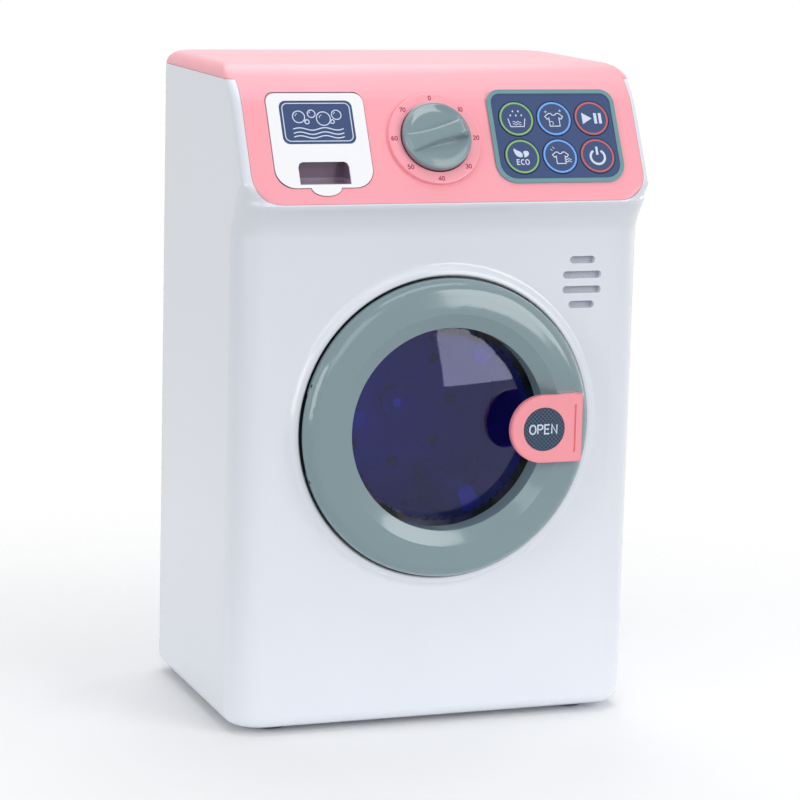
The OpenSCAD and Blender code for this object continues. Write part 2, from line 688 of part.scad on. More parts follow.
module drawer_guide_screws() {
  color(steel) on_panel() for (s = guide_boss)
    translate([drawer_u + s[0] * guide_du, drawer_v + s[1] * guide_dv, flange_w - 1.8]) rotate([180, 0, 0])
      screw(0.8, 5, 1.9, 1);
}

// Timer knob with its washer and screw behind the panel.
knob_stem_r = 4;
knob_base = dial_h + 0.4;
knob_skirt = 2.8;
knob_turn = 14;
grip_rise = 7.4;
washer_w = -cap_t - 0.3;

module knob() {
  color(teal) on_panel() translate([knob_u, knob_v, 0]) difference() {
    union() {
      translate([0, 0, knob_base]) rotate_extrude($fn = 96) polygon([[0, 0], [knob_r, 0],
        [knob_r, knob_skirt - 0.8], [knob_r - 0.3, knob_skirt - 0.2], [knob_r - 1, knob_skirt],
        [knob_r - 1.8, knob_skirt - 0.3], [5, knob_skirt - 1.4], [0, knob_skirt - 1.5]]);
      rotate([0, 0, knob_turn]) hull() {
        for (s = [-1, 1]) {
          translate([knob_r - 4.4, s * 2.2, knob_base + 1]) cylinder(r = 1.6, h = grip_rise - 1, $fn = 32);
          translate([knob_r - 2.6, s * 2.4, knob_base + 1]) cylinder(r = 1.4, h = knob_skirt, $fn = 32);
          translate([-knob_r + 2.3, s * 2.8, knob_base + 1])
            cylinder(r = 1.2, h = knob_skirt - 0.8, $fn = 32);
        }
      }
      translate([0, 0, washer_w]) cylinder(r = knob_stem_r, h = knob_base - washer_w + 1, $fn = 48);
    }
    translate([0, 0, washer_w - 1]) cylinder(r = 1.25, h = 8, $fn = 24);
  }
}

module knob_washer() {
  color(steel) on_panel() translate([knob_u, knob_v, washer_w - 0.8]) tube(6.5, 1.7, 0.8);
}

module knob_screw() {
  color(steel) on_panel() translate([knob_u, knob_v, washer_w - 0.8]) rotate([180, 0, 0])
    screw(1.2, 7, 2.6, 1.6);
}

// Keypad: rim, printed panel, six caps, and the board with its switches behind them.
rim_out = 0.7;
panel_out = 0.35;
panel_t = 1.3;
key_flange_r = key_r + 0.55;
key_flange_top = panel_out - panel_t - 0.1;
key_flange_t = 1.4;
key_tip = -8.4;
key_stem_r = 1.8;
switch_top = -7.2;
shelf_w = 3;

function key_at(i) = [key_u + ((i % 3) - 1) * key_pitch, key_v + (i < 3 ? 0.5 : -0.5) * key_pitch];

module keypad_frame() {
  color(teal) on_panel() translate([pad_u, pad_v, 0]) difference() {
    union() {
      translate([0, 0, 0.05]) plate(pad_w, pad_h, pad_rt, pad_rb, rim_out - 0.05);
      translate([0, 0, -4.4]) plate(pad_w - 2, pad_h - 2, pad_rt - 1, pad_rb - 1, 5);
    }
    translate([0, 0, panel_out - panel_t])
      plate(pad_w - 2 * pad_rim, pad_h - 2 * pad_rim, pad_rt - pad_rim, pad_rb - pad_rim, 10);
    translate([0, 0, -10])
      plate(pad_w - 2 * shelf_w, pad_h - 2 * shelf_w, pad_rt - shelf_w, pad_rb - shelf_w, 20);
  }
}

module keypad_panel() {
  color(navy) on_panel() difference() {
    translate([pad_u, pad_v, panel_out - panel_t])
      plate(pad_w - 2 * pad_rim - 0.1, pad_h - 2 * pad_rim - 0.1,
      pad_rt - pad_rim, pad_rb - pad_rim, panel_t);
    for (i = [0:5]) translate([key_at(i)[0], key_at(i)[1], -5])
      cylinder(r = key_r + slack, h = 10, $fn = 64);
  }
}

module key(i) {
  color(navy) on_panel() translate([key_at(i)[0], key_at(i)[1], 0]) {
    translate([0, 0, key_flange_top - 0.5])
      cylinder(r = key_r, h = panel_out + 0.15 - key_flange_top + 0.5, $fn = 64);
    translate([0, 0, key_flange_top - key_flange_t]) cylinder(r = key_flange_r, h = key_flange_t, $fn = 64);
    translate([0, 0, key_tip]) cylinder(r = key_stem_r, h = key_flange_top - key_tip - 0.5, $fn = 32);
  }
}

module circuit_board() {
  color(green) on_panel() difference() {
    translate([board_u, board_v, board_back]) plate(board_w, board_h, 1.5, 1.5, board_t);
    for (sx = [-1, 1]) for (sy = [-1, 1]) translate([board_u + sx * board_dx, board_v + sy * board_dy, -20])
      cylinder(r = 1.2, h = 20, $fn = 24);
    for (s = [-1, 1]) translate([board_u + s * 8, board_v - board_h / 2 + 2.2, -20])
      cylinder(r = 0.6, h = 20, $fn = 16);
  }
}

module switch_housings() {
  color(black) on_panel() for (i = [0:5]) translate([key_at(i)[0], key_at(i)[1], board_back + board_t])
    difference() {
    translate([-3, -3, 0]) cube([6, 6, switch_top - board_back - board_t]);
    translate([0, 0, switch_top - board_back - board_t - 2.6])
      cylinder(r = key_stem_r + slack, h = 10, $fn = 32);
  }
}

module board_chips() {
  color(black) on_panel() {
    translate([board_u - 8.2, board_v, board_back - 1.3]) cylinder(r = 4.6, h = 1.3, $fn = 48);
    translate([board_u + 4, board_v - 2.4, board_back - 1.6]) cube([8, 4.8, 1.6]);
    for (x = [-21, -16, 17]) translate([board_u + x, board_v + 7, board_back - 5])
      cylinder(r = 2, h = 5, $fn = 32);
    for (x = [-20, 18, 22]) translate([board_u + x, board_v - 6, board_back - 0.9]) cube([3, 1.6, 0.9]);
  }
}

module board_screws() {
  color(steel) on_panel() for (sx = [-1, 1]) for (sy = [-1, 1])
    translate([board_u + sx * board_dx, board_v + sy * board_dy, board_back]) rotate([180, 0, 0])
      screw(1, 5.5, 2, 1.2);
}

// Speaker behind the slots.
speaker_y = wall + 0.8;

module speaker_cloth() {
  color(grey) along_y(speaker_x, wall, speaker_z) cylinder(r = speaker_r, h = 0.5, $fn = 64);
}

module speaker_cone() {
  color(black) along_y(speaker_x, speaker_y, speaker_z) rotate_extrude($fn = 64)
    polygon([[0, 3.2], [3, 3.2], [4, 2.6], [11.4, 0.4], [12.6, 0.4], [12.6, 0.8], [11.6, 0.9],
      [4.2, 3.2], [3.4, 3.7],
      [0, 3.7]]);
}

module speaker_frame() {
  color(steel) along_y(speaker_x, wall + 0.5, speaker_z) rotate_extrude($fn = 64)
    polygon([[12.7, 0], [speaker_r, 0], [speaker_r, 1.4], [13, 1.6], [9, 5], [7.4, 5.2], [7.4, 8.6],
      [0, 8.6],
      [0, 5.2], [5, 5.2], [8.6, 4.2], [12.2, 1.4], [12.7, 1.2]]);
}

// Door: hollow ring, domed window, back ring, handle, hinge pin and catch.
ring_top = 10.3;
tube_r = window_r + 1.8;
tube_end = -1.2;
shoulder_r = door_r - 6.5;
lens_t = 1.8;
lens_flange_r = 45.2;
dome_rise = 5;
dome_edge = window_r - 1.2;
dome_r = (dome_edge * dome_edge + dome_rise * dome_rise) / (2 * dome_rise);
door_post_at = 46.2;
door_post_r = 2.1;
door_posts = [20, 70, 110, 160, 200, 250, 290, 340];
handle_x0 = 24.1;
handle_x1 = 55.2;
handle_h = 27.8;
handle_t = 2.8;
handle_foot = 46.4;
seat_d = 8.4;
tick_count = 60;

function ring_outer() = concat([[door_r - 1, 1.2], [door_r - 0.3, 1.4], [door_r, 2]],
  [for (a = [0:15:90]) [shoulder_r + 6.5 * cos(a), 3.8 + 5.8 * sin(a)]],
  [[shoulder_r - 4, ring_top - 0.1], [shoulder_r - 7.2, ring_top], [shoulder_r - 8.2, ring_top - 0.5],
    [window_r + 0.8, 7.8], [window_r + 0.2, 7.5], [window_r, 7]]);
function ring_inner() = concat([[window_r, tube_end], [tube_r, tube_end], [tube_r, 5.6],
  [shoulder_r - 7.6, 7.9], [shoulder_r - 4, 8.2]],
  [for (a = [90:-15:0]) [shoulder_r + 4.7 * cos(a), 3.6 + 4 * sin(a)]], [[shoulder_r + 4.7, 1.2]]);

module hinge_eye(r, z0, z1) {
  translate([hinge_x, (z0 + z1) / 2, hinge_d]) rotate([90, 0, 0])
    cylinder(r = r, h = z1 - z0, center = true, $fn = 32);
}

module door_ring() {
  color(teal) on_door() difference() {
    union() {
      rotate_extrude($fn = 180) polygon(concat(ring_outer(), ring_inner()));
      for (a = [10:20:350]) rotate([0, 0, a]) translate([tube_r - bite, -0.6, 2])
        cube([shoulder_r + 5 - tube_r, 1.2, 6]);
      for (a = door_posts) rotate([0, 0, a]) translate([door_post_at, 0, tube_end])
        cylinder(r = door_post_r, h = 9, $fn = 32);
      translate([handle_foot - 1.4, -handle_h / 2 - 1.4, 3])
        cube([handle_x1 - handle_foot + 2.2, handle_h + 2.8, 5.5]);
      hinge_eye(lug_r, -lug_in + slack, lug_in - slack);
      translate([hinge_x, -lug_in + slack, hinge_d]) cube([3, 2 * (lug_in - slack), 4.4]);
      translate([nub_x, -nub_h / 2, -6]) cube([nub_w, nub_h, 12]);
    }
    translate([handle_foot - 0.1, -handle_h / 2 - 0.1, seat_d])
      cube([handle_x1 - handle_foot + 0.2, handle_h + 0.2, 10]);
    hinge_eye(pin_r + fit, -20, 20);
    for (s = [-1, 1])
      hinge_eye(lug_r + 0.4, (s > 0 ? lug_in - slack : -lug_out - slack),
        (s > 0 ? lug_out + slack : -lug_in + slack));
    translate([-door_r - 2, -skirt_cut, -2]) cube([8, 2 * skirt_cut, 5.2]);
    for (a = door_posts) rotate([0, 0, a]) translate([door_post_at, 0, tube_end - 1])
      cylinder(r = 1.05, h = 7.5, $fn = 24);
    for (s = [-1, 1]) translate([handle_foot + 4.4, s * 8, 0]) {
      cylinder(r = 1.3, h = 20, $fn = 24);
      translate([0, 0, -4]) cylinder(r = 2.4, h = 7, $fn = 32);
    }
  }
}

module door_lens() {
  color([0.12, 0.14, 0.42, 0.45]) on_door() difference() {
    union() {
      translate([0, 0, tube_end - lens_t]) cylinder(r = lens_flange_r, h = lens_t, $fn = 128);
      intersection() {
        translate([0, 0, tube_end + dome_rise - dome_r]) sphere(r = dome_r, $fn = 128);
        translate([0, 0, tube_end - 0.5]) cylinder(r = dome_edge, h = 20, $fn = 128);
      }
    }
    intersection() {
      translate([0, 0, tube_end + dome_rise - dome_r]) sphere(r = dome_r - lens_t, $fn = 128);
      translate([0, 0, -20]) cylinder(r = dome_edge - 1.2, h = 40, $fn = 128);
    }
    for (a = door_posts) rotate([0, 0, a]) translate([door_post_at, 0, -10])
      cylinder(r = door_post_r + 0.3, h = 20, $fn = 32);
  }
}

module door_back() {
  color([0.20, 0.25, 0.27]) on_door() difference() {
    translate([0, 0, tube_end - lens_t - 1.6]) union() {
      tube(48.4, dome_edge - 1, 1.6);
      difference() {
        translate([0, 0, 1.2]) tube(48.4, lens_flange_r + 0.2, lens_t + 0.4);
        for (a = door_posts) rotate([0, 0, a]) translate([door_post_at, 0, 1.6])
          cylinder(r = door_post_r + 0.2, h = 4, $fn = 32);
      }
      for (i = [0:tick_count - 1]) rotate([0, 0, 360 * i / tick_count])
        translate([dome_edge - 1.7, -0.7, 0]) cube([1.5, 1.4, 1.6]);
    }
    for (a = door_posts) rotate([0, 0, a]) translate([door_post_at, 0, -10])
      cylinder(r = 1.2, h = 20, $fn = 24);
  }
}

module door_screws() {
  color(steel) on_door() for (a = door_posts) rotate([0, 0, a])
    translate([door_post_at, 0, tube_end - lens_t - 1.6]) rotate([180, 0, 0]) screw(1, 7.5, 1.9, 1.1);
}

function tab_pts(e) = concat(
  [for (a = [90:9:270])
    [handle_x0 + handle_h / 2 + (handle_h / 2 - e) * cos(a), (handle_h / 2 - e) * sin(a)]],
  [[handle_x1 - 1 - e, -handle_h / 2 + e], [handle_x1 - e, -handle_h / 2 + 1 + e]],
  [[handle_x1 - e, handle_h / 2 - 1 - e], [handle_x1 - 1 - e, handle_h / 2 - e]]);

handle_label_x = 38.4;
handle_label_r = 8.9;

module door_handle() {
  color([1.0, 0.61, 0.65]) on_door() difference() {
    union() {
      translate([0, 0, handle_out - handle_t]) linear_extrude(height = handle_t - 0.4) polygon(tab_pts(0));
      translate([0, 0, handle_out - 0.5]) linear_extrude(height = 0.5) polygon(tab_pts(0.45));
      translate([handle_foot, -handle_h / 2, seat_d])
        cube([handle_x1 - handle_foot, handle_h, handle_out - seat_d - 1]);
    }
    translate([handle_x1 - 3.8, -9.8, handle_out - 0.6]) cube([0.9, 19.6, 2]);
    translate([handle_label_x, 0, handle_out - 0.35]) cylinder(r = handle_label_r + 0.1, h = 2, $fn = 64);
    for (s = [-1, 1]) translate([handle_foot + 4.4, s * 8, seat_d - 1])
      cylinder(r = 1.05, h = 5.4, $fn = 24);
  }
}

module handle_label() {
  color(navy) on_door() translate([handle_label_x, 0, handle_out - 0.35])
    cylinder(r = handle_label_r, h = 0.4, $fn = 64);
}

module handle_screws() {
  color(steel) on_door() for (s = [-1, 1]) translate([handle_foot + 4.4, s * 8, 3]) rotate([180, 0, 0])
    screw(1, 8.5, 2, 1.2);
}

module hinge_pin() {
  color(steel) on_door() translate([hinge_x, 0, hinge_d]) rotate([90, 0, 0])
    cylinder(r = pin_r, h = 2 * lug_out - 0.4, center = true, $fn = 24);
}

module door_catch() {
  color(white) on_door() difference() {
    union() {
      for (s = [-1, 1]) translate([nub_x - 1, s * (nub_h / 2 + 1.4) - 0.9, -wall - 8]) cube([6, 1.8, 8]);
      translate([nub_x - 1, -nub_h / 2 - 2.3, -wall - 9.6]) cube([6, nub_h + 4.6, 1.8]);
      for (s = [-1, 1]) translate([nub_x - 1, s * (nub_h / 2 + 4) - 3, -wall - 1.6]) cube([6, 6, 1.6]);
    }
    for (s = [-1, 1]) translate([nub_x + 2, s * (nub_h / 2 + 5), -20])
      cylinder(r = peg_r + fit, h = 30, $fn = 24);
  }
}

// Drum, tub, bearing and the gear drive behind it.
tub_wall = 1.6;
tub_in = drum_r + 2.5;
tub_r = tub_in + tub_wall;
tub_y0 = 6.2;
drum_y0 = 7.5;
drum_y1 = drum_y0 + drum_len;
tub_back = drum_y1 + 6;
tub_t = 2.4;
drum_t = 1.5;
lip_r = drum_r - 5;
paddle_h = 15;
paddle_w = 14;
shaft_r = 2;
hub_r = 6;
bush_r = 5;
gear_y = tub_back + tub_t + 5.6;
gear_t = 5;
module_mm = 0.9;
gear_pr = module_mm * gear_teeth / 2;
pinion_pr = module_mm * pinion_teeth / 2;
motor_z = door_z - gear_pr - pinion_pr;
plate_y = gear_y + gear_t + 3;
drive_plate_t = 2.4;
drive_w = 72;
drive_top = door_z + 29;
drive_bottom = motor_z - 14;
pillar_x = 31;
pillar_zs = [door_z + 24, motor_z + 2];
motor_r = 10;
motor_room = 7.7;
motor_len = back_in - motor_room - plate_y - drive_plate_t;

function paddle_pts() = concat([[-paddle_w / 2, 0]],
  [for (i = [0:6]) let (t = i / 6) [-paddle_w / 2 + 3.6 * t, paddle_h * 0.72 * pow(t, 1.3)]],
  [for (a = [160:-20:20]) [3.6 * cos(a), paddle_h - 3.6 + 3.6 * sin(a)]],
  [for (i = [6:-1:0]) let (t = i / 6) [paddle_w / 2 - 3.6 * t, paddle_h * 0.72 * pow(t, 1.3)]],
    [[paddle_w / 2, 0]]);

paddle_a0 = 185;
function off_paddle(a, k) = let (d = a - paddle_a0 - 360 * k / paddle_count) abs(d - 360 * round(d / 360));
function clear_of_paddles(a) = min([for (k = [0:paddle_count - 1]) off_paddle(a, k)]) > 11;

module drum() {
  color(grey) along_y(0, 0, door_z) difference() {
    union() {
      translate([0, 0, drum_y0]) tube(drum_r, drum_r - drum_t, drum_len);
      translate([0, 0, drum_y0]) tube(drum_r - bite, lip_r, drum_t);
      translate([0, 0, drum_y1 - 2]) cylinder(r = drum_r - bite, h = 2, $fn = 96);
      translate([0, 0, drum_y1 - 6]) cylinder(r = hub_r, h = 10, $fn = 48);
      for (i = [0:paddle_count - 1]) rotate([0, 0, 360 * i / paddle_count + paddle_a0])
        translate([drum_r - drum_t + 0.3, 0, drum_y0 + 1]) rotate([0, 0, 90])
          linear_extrude(height = drum_len - 2) polygon(paddle_pts());
    }
    translate([0, 0, drum_y1 - 20]) cylinder(r = shaft_r + held, h = 40, $fn = 32);
    for (j = [0:3]) for (i = [0:14]) let (a = 24 * i + 12 * (j % 2)) if (clear_of_paddles(a))
      rotate([0, 0, a]) translate([drum_r - 6, 0, drum_y0 + 9 + j * (drum_len - 18) / 3]) rotate([0, 90, 0])
        cylinder(r = 1.8, h = 12, $fn = 20);
    for (a = [0:45:315]) rotate([0, 0, a]) translate([26, 0, drum_y1 - 5])
      cylinder(r = 2.4, h = 10, $fn = 24);
  }
}

module drum_shaft() {
  color(steel) along_y(0, drum_y1 - 8, door_z)
    cylinder(r = shaft_r, h = plate_y + drive_plate_t + 2.5 - drum_y1 + 8, $fn = 32);
}

module shaft_bush() {
  color(brass) along_y(0, tub_back - 0.8, door_z) difference() {
    union() {
      cylinder(r = bush_r, h = tub_t + 0.8, $fn = 48);
      translate([0, 0, tub_t + 0.8]) cylinder(r = 7, h = 1.6, $fn = 48);
    }
    translate([0, 0, -1]) cylinder(r = shaft_r + fit, h = 20, $fn = 32);
  }
}

module tub() {
  color([0.86, 0.87, 0.90]) along_y(0, 0, door_z) difference() {
    union() {
      translate([0, 0, tub_y0]) tube(tub_r, tub_in, tub_back + tub_t - tub_y0);
      translate([0, 0, tub_back]) cylinder(r = tub_r - bite, h = tub_t, $fn = 96);
      for (a = boss_angles) rotate([0, 0, -a]) {
        translate([boss_at, 0, tub_ear_y]) cylinder(r = 4, h = 2.4, $fn = 32);
        translate([tub_in + 0.5, -4, tub_ear_y]) cube([boss_at - tub_in - 0.5, 8, 2.4]);
      }
      for (s = [-1, 1]) for (z = pillar_zs) translate([s * pillar_x, door_z - z, tub_back + 0.5])
        cylinder(r = 3.4, h = plate_y - tub_back - 0.5, $fn = 32);
    }
    for (a = boss_angles) rotate([0, 0, -a]) translate([boss_at, 0, 0]) cylinder(r = 1.6, h = 20, $fn = 24);
    translate([0, 0, tub_back - 2]) cylinder(r = bush_r + held, h = 10, $fn = 48);
    for (s = [-1, 1]) for (z = pillar_zs) translate([s * pillar_x, door_z - z, plate_y - 10])
      cylinder(r = 1.25, h = 12, $fn = 24);
  }
}

module tub_screws() {
  color(steel) for (a = boss_angles)
    along_y(boss_at * cos(a), tub_ear_y + 2.4, door_z + boss_at * sin(a)) screw(1.2, 7.6, 2.6, 1.6);
}

// Involute teeth: half the tooth's angle at radius r, for n teeth.
press_a = 25;
function roll_of(a) = tan(a) * 180 / PI - a;
function half_at(n, r) = let (rp = module_mm * n / 2, rb = rp * cos(press_a),
  a = acos(min(1, rb / max(rb, r))))
  90 / n - 0.06 / rp * 180 / PI + roll_of(press_a) - roll_of(a);
function tooth_rs(n) = let (rp = module_mm * n / 2)
  [rp - 1.15 * module_mm, rp - 0.55 * module_mm, rp, rp + 0.45 * module_mm, rp + 0.85 * module_mm];
function gear_pts(n, turn) = [for (k = [0:n - 1]) let (c = 360 * k / n + turn, rs = tooth_rs(n))
  each concat([for (i = [0:4]) let (a = c - half_at(n, rs[i])) [rs[i] * cos(a), rs[i] * sin(a)]],
    [for (i = [4:-1:0]) let (a = c + half_at(n, rs[i])) [rs[i] * cos(a), rs[i] * sin(a)]])];

module drum_gear() {
  color(white) along_y(0, gear_y, door_z) difference() {
    union() {
      linear_extrude(height = gear_t) polygon(gear_pts(gear_teeth, 0));
      translate([0, 0, -3]) cylinder(r = 5, h = gear_t + 4.6, $fn = 48);
    }
    for (s = [0, 1]) translate([0, 0, s * (gear_t - 1.4) - 0.1]) difference() {
      cylinder(r = gear_pr - 3, h = 1.5, $fn = 64);
      translate([0, 0, -1]) cylinder(r = 7, h = 4, $fn = 48);
    }
    translate([0, 0, -5]) cylinder(r = shaft_r + held, h = 20, $fn = 32);
    for (a = [0:60:300]) rotate([0, 0, a]) translate([12.5, 0, -1]) cylinder(r = 3.4, h = 10, $fn = 32);
  }
}

module motor_pinion() {
  color(brass) along_y(0, gear_y - 0.5, motor_z) difference() {
    linear_extrude(height = gear_t + 1.5) polygon(gear_pts(pinion_teeth, 90 + 180 / pinion_teeth));
    translate([0, 0, -1]) cylinder(r = 1 + held, h = 10, $fn = 24);
  }
}

module motor_shaft() {
  color(steel) along_y(0, gear_y - 0.8, motor_z) cylinder(r = 1, h = plate_y - gear_y + 6, $fn = 24);
}

module drive_plate() {
  color([0.86, 0.87, 0.90]) along_y(0, plate_y, 0) difference() {
    translate([0, -(drive_top + drive_bottom) / 2, 0])
      plate(drive_w, drive_top - drive_bottom, 4, 4, drive_plate_t);
    translate([0, -door_z, -1]) cylinder(r = shaft_r + fit, h = 10, $fn = 32);
    translate([0, -motor_z, -1]) cylinder(r = 3.1, h = 10, $fn = 32);
    for (s = [-1, 1]) translate([s * 6.4, -motor_z, -1]) cylinder(r = 1.2, h = 10, $fn = 24);
    for (s = [-1, 1]) for (z = pillar_zs) translate([s * pillar_x, -z, -1])
      cylinder(r = 1.6, h = 10, $fn = 24);
  }
}

module drive_screws() {
  color(steel) {
    for (s = [-1, 1]) for (z = pillar_zs) along_y(s * pillar_x, plate_y + drive_plate_t, z)
      screw(1.2, 9, 2.6, 1.6);
    for (s = [-1, 1]) along_y(s * 6.4, plate_y, motor_z) rotate([180, 0, 0]) screw(1, 4.6, 1.9, 1);
  }
}

module motor() {
  color(steel) along_y(0, plate_y + drive_plate_t, motor_z) difference() {
    union() {
      cylinder(r = motor_r, h = motor_len, $fn = 64);
      translate([0, 0, -drive_plate_t]) cylinder(r = 3, h = drive_plate_t + 1, $fn = 32);
      for (s = [-1, 1]) translate([s * 6 - 1.4, -0.25, motor_len - 0.5]) cube([2.8, 0.5, 3.2]);
    }
    translate([0, 0, -5]) cylinder(r = 1 + fit, h = 9.6, $fn = 24);
    for (s = [-1, 1]) translate([s * 6.4, 0, -1]) cylinder(r = 1 + fit, h = 4.6, $fn = 24);
  }
}

// Leads, each held at both ends and lying along the walls between.
lead_r = 0.65;
motor_end_y = front_y + plate_y + drive_plate_t + motor_len + 1.2;

// A place behind the circuit board: across and up from its middle, and out from its back.
function board_pt(du, dv, w) = [board_u + du,
  front_y - lip_out + (board_v + dv) * sin(tilt) - (board_back - w) * cos(tilt),
  fascia_z + (board_v + dv) * cos(tilt) + (board_back - w) * sin(tilt)];

side_x = half_w - 15.2;

module motor_leads() {
  for (s = [-1, 1]) color(s > 0 ? red : black)
    wire(curve([[s * 6, motor_end_y, motor_z + 0.9], [s * 6 + 3, motor_end_y + 1.2, motor_z + 4],
      [24 + 2 * s, motor_end_y - 1, motor_z + 16 - 2 * s],
        [50 + 1.6 * s, front_y + body_d - 18, door_z + 20 - 1.6 * s],
      [speaker_x + 1 + 1.6 * s, front_y + 80, door_z + 60],
        [speaker_x - 3 + 1.6 * s, front_y + 50, fascia_z - 4],
      board_pt(4.5 + 1.6 * s, -8, 6), board_pt(4.5 + 1.6 * s, -8, 0.1)], 7), lead_r, [0, 0, 1]);
}

module speaker_leads() {
  for (s = [-1, 1]) color(s > 0 ? red : black)
    wire(curve([[speaker_x + s * 3, front_y + wall + 9.5, speaker_z],
      [speaker_x + s * 3, front_y + 16, speaker_z + 2],
      [speaker_x + 2 + s * 1.5, front_y + 22, speaker_z + 16], board_pt(14.5 + s * 1.5, -12, 9),
      board_pt(16.5 + s * 1.5, -8, 3), board_pt(16.5 + s * 1.5, -8, 0.1)], 7), lead_r, [1, 0, 0]);
}

module power_leads() {
  bay_top = bay_z0 + bay_h;
  switch_y = front_y + switch_body_y;
  color(red) wire(curve([[battery_gap + 1, front_y + battery_y - 2, bay_top + 2.6],
    [battery_gap + 14, front_y + battery_y - 10, bay_top + 6], [switch_x - 10, switch_y - 4, switch_z + 13],
    [switch_x, switch_y - 3.4, switch_z + 6], [switch_x, switch_y - 0.1, switch_z + 6]], 6), lead_r,
      [0, 1, 0]);
  color(red) wire(curve([[switch_x, switch_y - 0.1, switch_z - 2], [switch_x + 2, switch_y - 4, switch_z],
    [side_x - 6, front_y + body_d - 22, 70], [side_x, front_y + body_d - 28, door_z],
    [side_x, front_y + 78, door_z + 60], [side_x - 2, front_y + 50, fascia_z - 4], board_pt(20.5, -1.5, 7),
    board_pt(20.5, -1.5, 0.1)], 7), lead_r, [1, 0, 0]);
  color(black) wire(curve([[-battery_gap - 1, front_y + battery_y - 2, bay_top + 2.6],
    [-battery_gap - 14, front_y + battery_y - 10, bay_top + 10], [-44, front_y + body_d - 20, door_z],
    [-34, front_y + 86, door_z + 60], [0, front_y + 60, fascia_z - 2], board_pt(-21.5, -1.5, 9),
    board_pt(-17.5, -1.5, 3), board_pt(-17.5, -1.5, 0.1)], 8), lead_r, [1, 0, 0]);
}

front_shell();
rear_cover();
top_cap();
feet();
rear_screws();
cap_screws();
drawer();
drawer_label();
drawer_guide();
drawer_guide_screws();
knob();
knob_washer();
knob_screw();
keypad_frame();
keypad_panel();
key(0);  // key_1
key(1);  // key_2
key(2);  // key_3
key(3);  // key_4
key(4);  // key_5
key(5);  // key_6
circuit_board();
switch_housings();
board_chips();
board_screws();
speaker_cloth();
speaker_cone();
speaker_frame();
door_ring();
door_lens();
door_back();
door_screws();
door_handle();
handle_label();
handle_screws();
hinge_pin();
door_catch();
tub();
tub_screws();
drum();
drum_shaft();
shaft_bush();
drum_gear();
drive_plate();
drive_screws();
motor();
motor_shaft();
motor_pinion();
battery_cover();
battery_cover_screw();
battery(0);  // battery_1
battery(1);  // battery_2
battery(2);  // battery_3
battery_contacts();
power_switch_body();
power_switch_slider();
motor_leads();
speaker_leads();
power_leads();
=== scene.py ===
# %% [markdown]
# # A toy washing machine
# The real toy is a shell of glossy moulded plastic around a turning drum.
# Every fitted or moving piece comes from the CAD frame, at its real size and place.
# This file gives those pieces their finish, models the soft moulded forms and printed marks,
# and stands the machine in a plain studio.

# %% Load the frame
import bpy
import bmesh
import json
import math
from mathutils import Matrix, Vector


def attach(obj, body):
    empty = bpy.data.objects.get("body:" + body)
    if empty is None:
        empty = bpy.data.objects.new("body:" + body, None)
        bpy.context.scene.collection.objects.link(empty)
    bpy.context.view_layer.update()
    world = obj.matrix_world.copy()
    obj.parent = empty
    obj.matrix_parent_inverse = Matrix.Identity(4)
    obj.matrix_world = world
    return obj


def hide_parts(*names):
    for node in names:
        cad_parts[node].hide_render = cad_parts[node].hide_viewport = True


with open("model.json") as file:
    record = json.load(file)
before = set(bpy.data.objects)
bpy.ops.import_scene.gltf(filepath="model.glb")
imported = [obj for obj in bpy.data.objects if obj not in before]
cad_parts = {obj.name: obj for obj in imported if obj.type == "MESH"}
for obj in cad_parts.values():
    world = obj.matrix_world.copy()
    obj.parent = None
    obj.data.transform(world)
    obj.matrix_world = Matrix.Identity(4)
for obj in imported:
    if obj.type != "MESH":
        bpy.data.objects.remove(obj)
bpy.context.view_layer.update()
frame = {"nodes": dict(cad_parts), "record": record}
nodes = frame["nodes"]

# %% [markdown]
# ## Working frames
# Printed marks sit on three faces: the tilted control panel, the front of the door and the back.
# A frame turns "so far across, so far up, so far out" on such a face into a place in the room.
# Everything is written in millimetres here, because that is how a moulded part is measured.

# %% Frames for the tilted panel and for the door
MM = 0.001
FRONT_Y = -51.7
LIP_OUT = 7.6
PANEL_Z = 217.7
TILT = math.radians(28.5)
DOOR_Z = 125.4

panel_frame = Matrix((
    (1, 0, 0, 0),
    (0, math.sin(TILT), -math.cos(TILT), (FRONT_Y - LIP_OUT) * MM),
    (0, math.cos(TILT), math.sin(TILT), PANEL_Z * MM),
    (0, 0, 0, 1),
))
door_frame = Matrix((
    (1, 0, 0, 0),
    (0, 0, -1, FRONT_Y * MM),
    (0, 1, 0, DOOR_Z * MM),
    (0, 0, 0, 1),
))


def at(frame_matrix, x, y, z=0.0):
    """A place given in millimetres on a face, as a point in the room."""
    return frame_matrix @ Vector((x * MM, y * MM, z * MM))


print("panel origin:", [round(c, 4) for c in at(panel_frame, 0, 0)])
print("door middle:", [round(c, 4) for c in at(door_frame, 0, 0)])

# %% [markdown]
# ## Grain of moulded plastic
# Moulded plastic is never one flat colour. The pigment clouds a little, handling leaves faint
# patches that change the gloss, and the steel mould passes on a very fine texture.
# All the plastics share this, so it is built once as a node group with named sockets, and each
# finish feeds it its own tones. The patterns read Object coordinates, which are in metres.

# %% A node group for the grain
CLOUD_SCALE, PATCH_SCALE = 38, 26
BUMP_DEPTH = 0.0002


def new_group(name, inputs, outputs):
    """An empty node group; its sockets are given as (name, kind)."""
    group = bpy.data.node_groups.new(name, "ShaderNodeTree")
    for way, sockets in (("INPUT", inputs), ("OUTPUT", outputs)):
        for label, kind in sockets:
            group.interface.new_socket(label, in_out=way, socket_type="NodeSocket" + kind)
    return group, group.nodes.new("NodeGroupInput").outputs, group.nodes.new("NodeGroupOutput").inputs


def noise(tree, place, scale, detail):
    """Soft spots over the surface, so many to a metre."""
    spots = tree.nodes.new("ShaderNodeTexNoise")
    spots.inputs["Scale"].default_value = scale
    spots.inputs["Detail"].default_value = detail
    tree.links.new(place.outputs["Object"], spots.inputs["Vector"])
    return spots


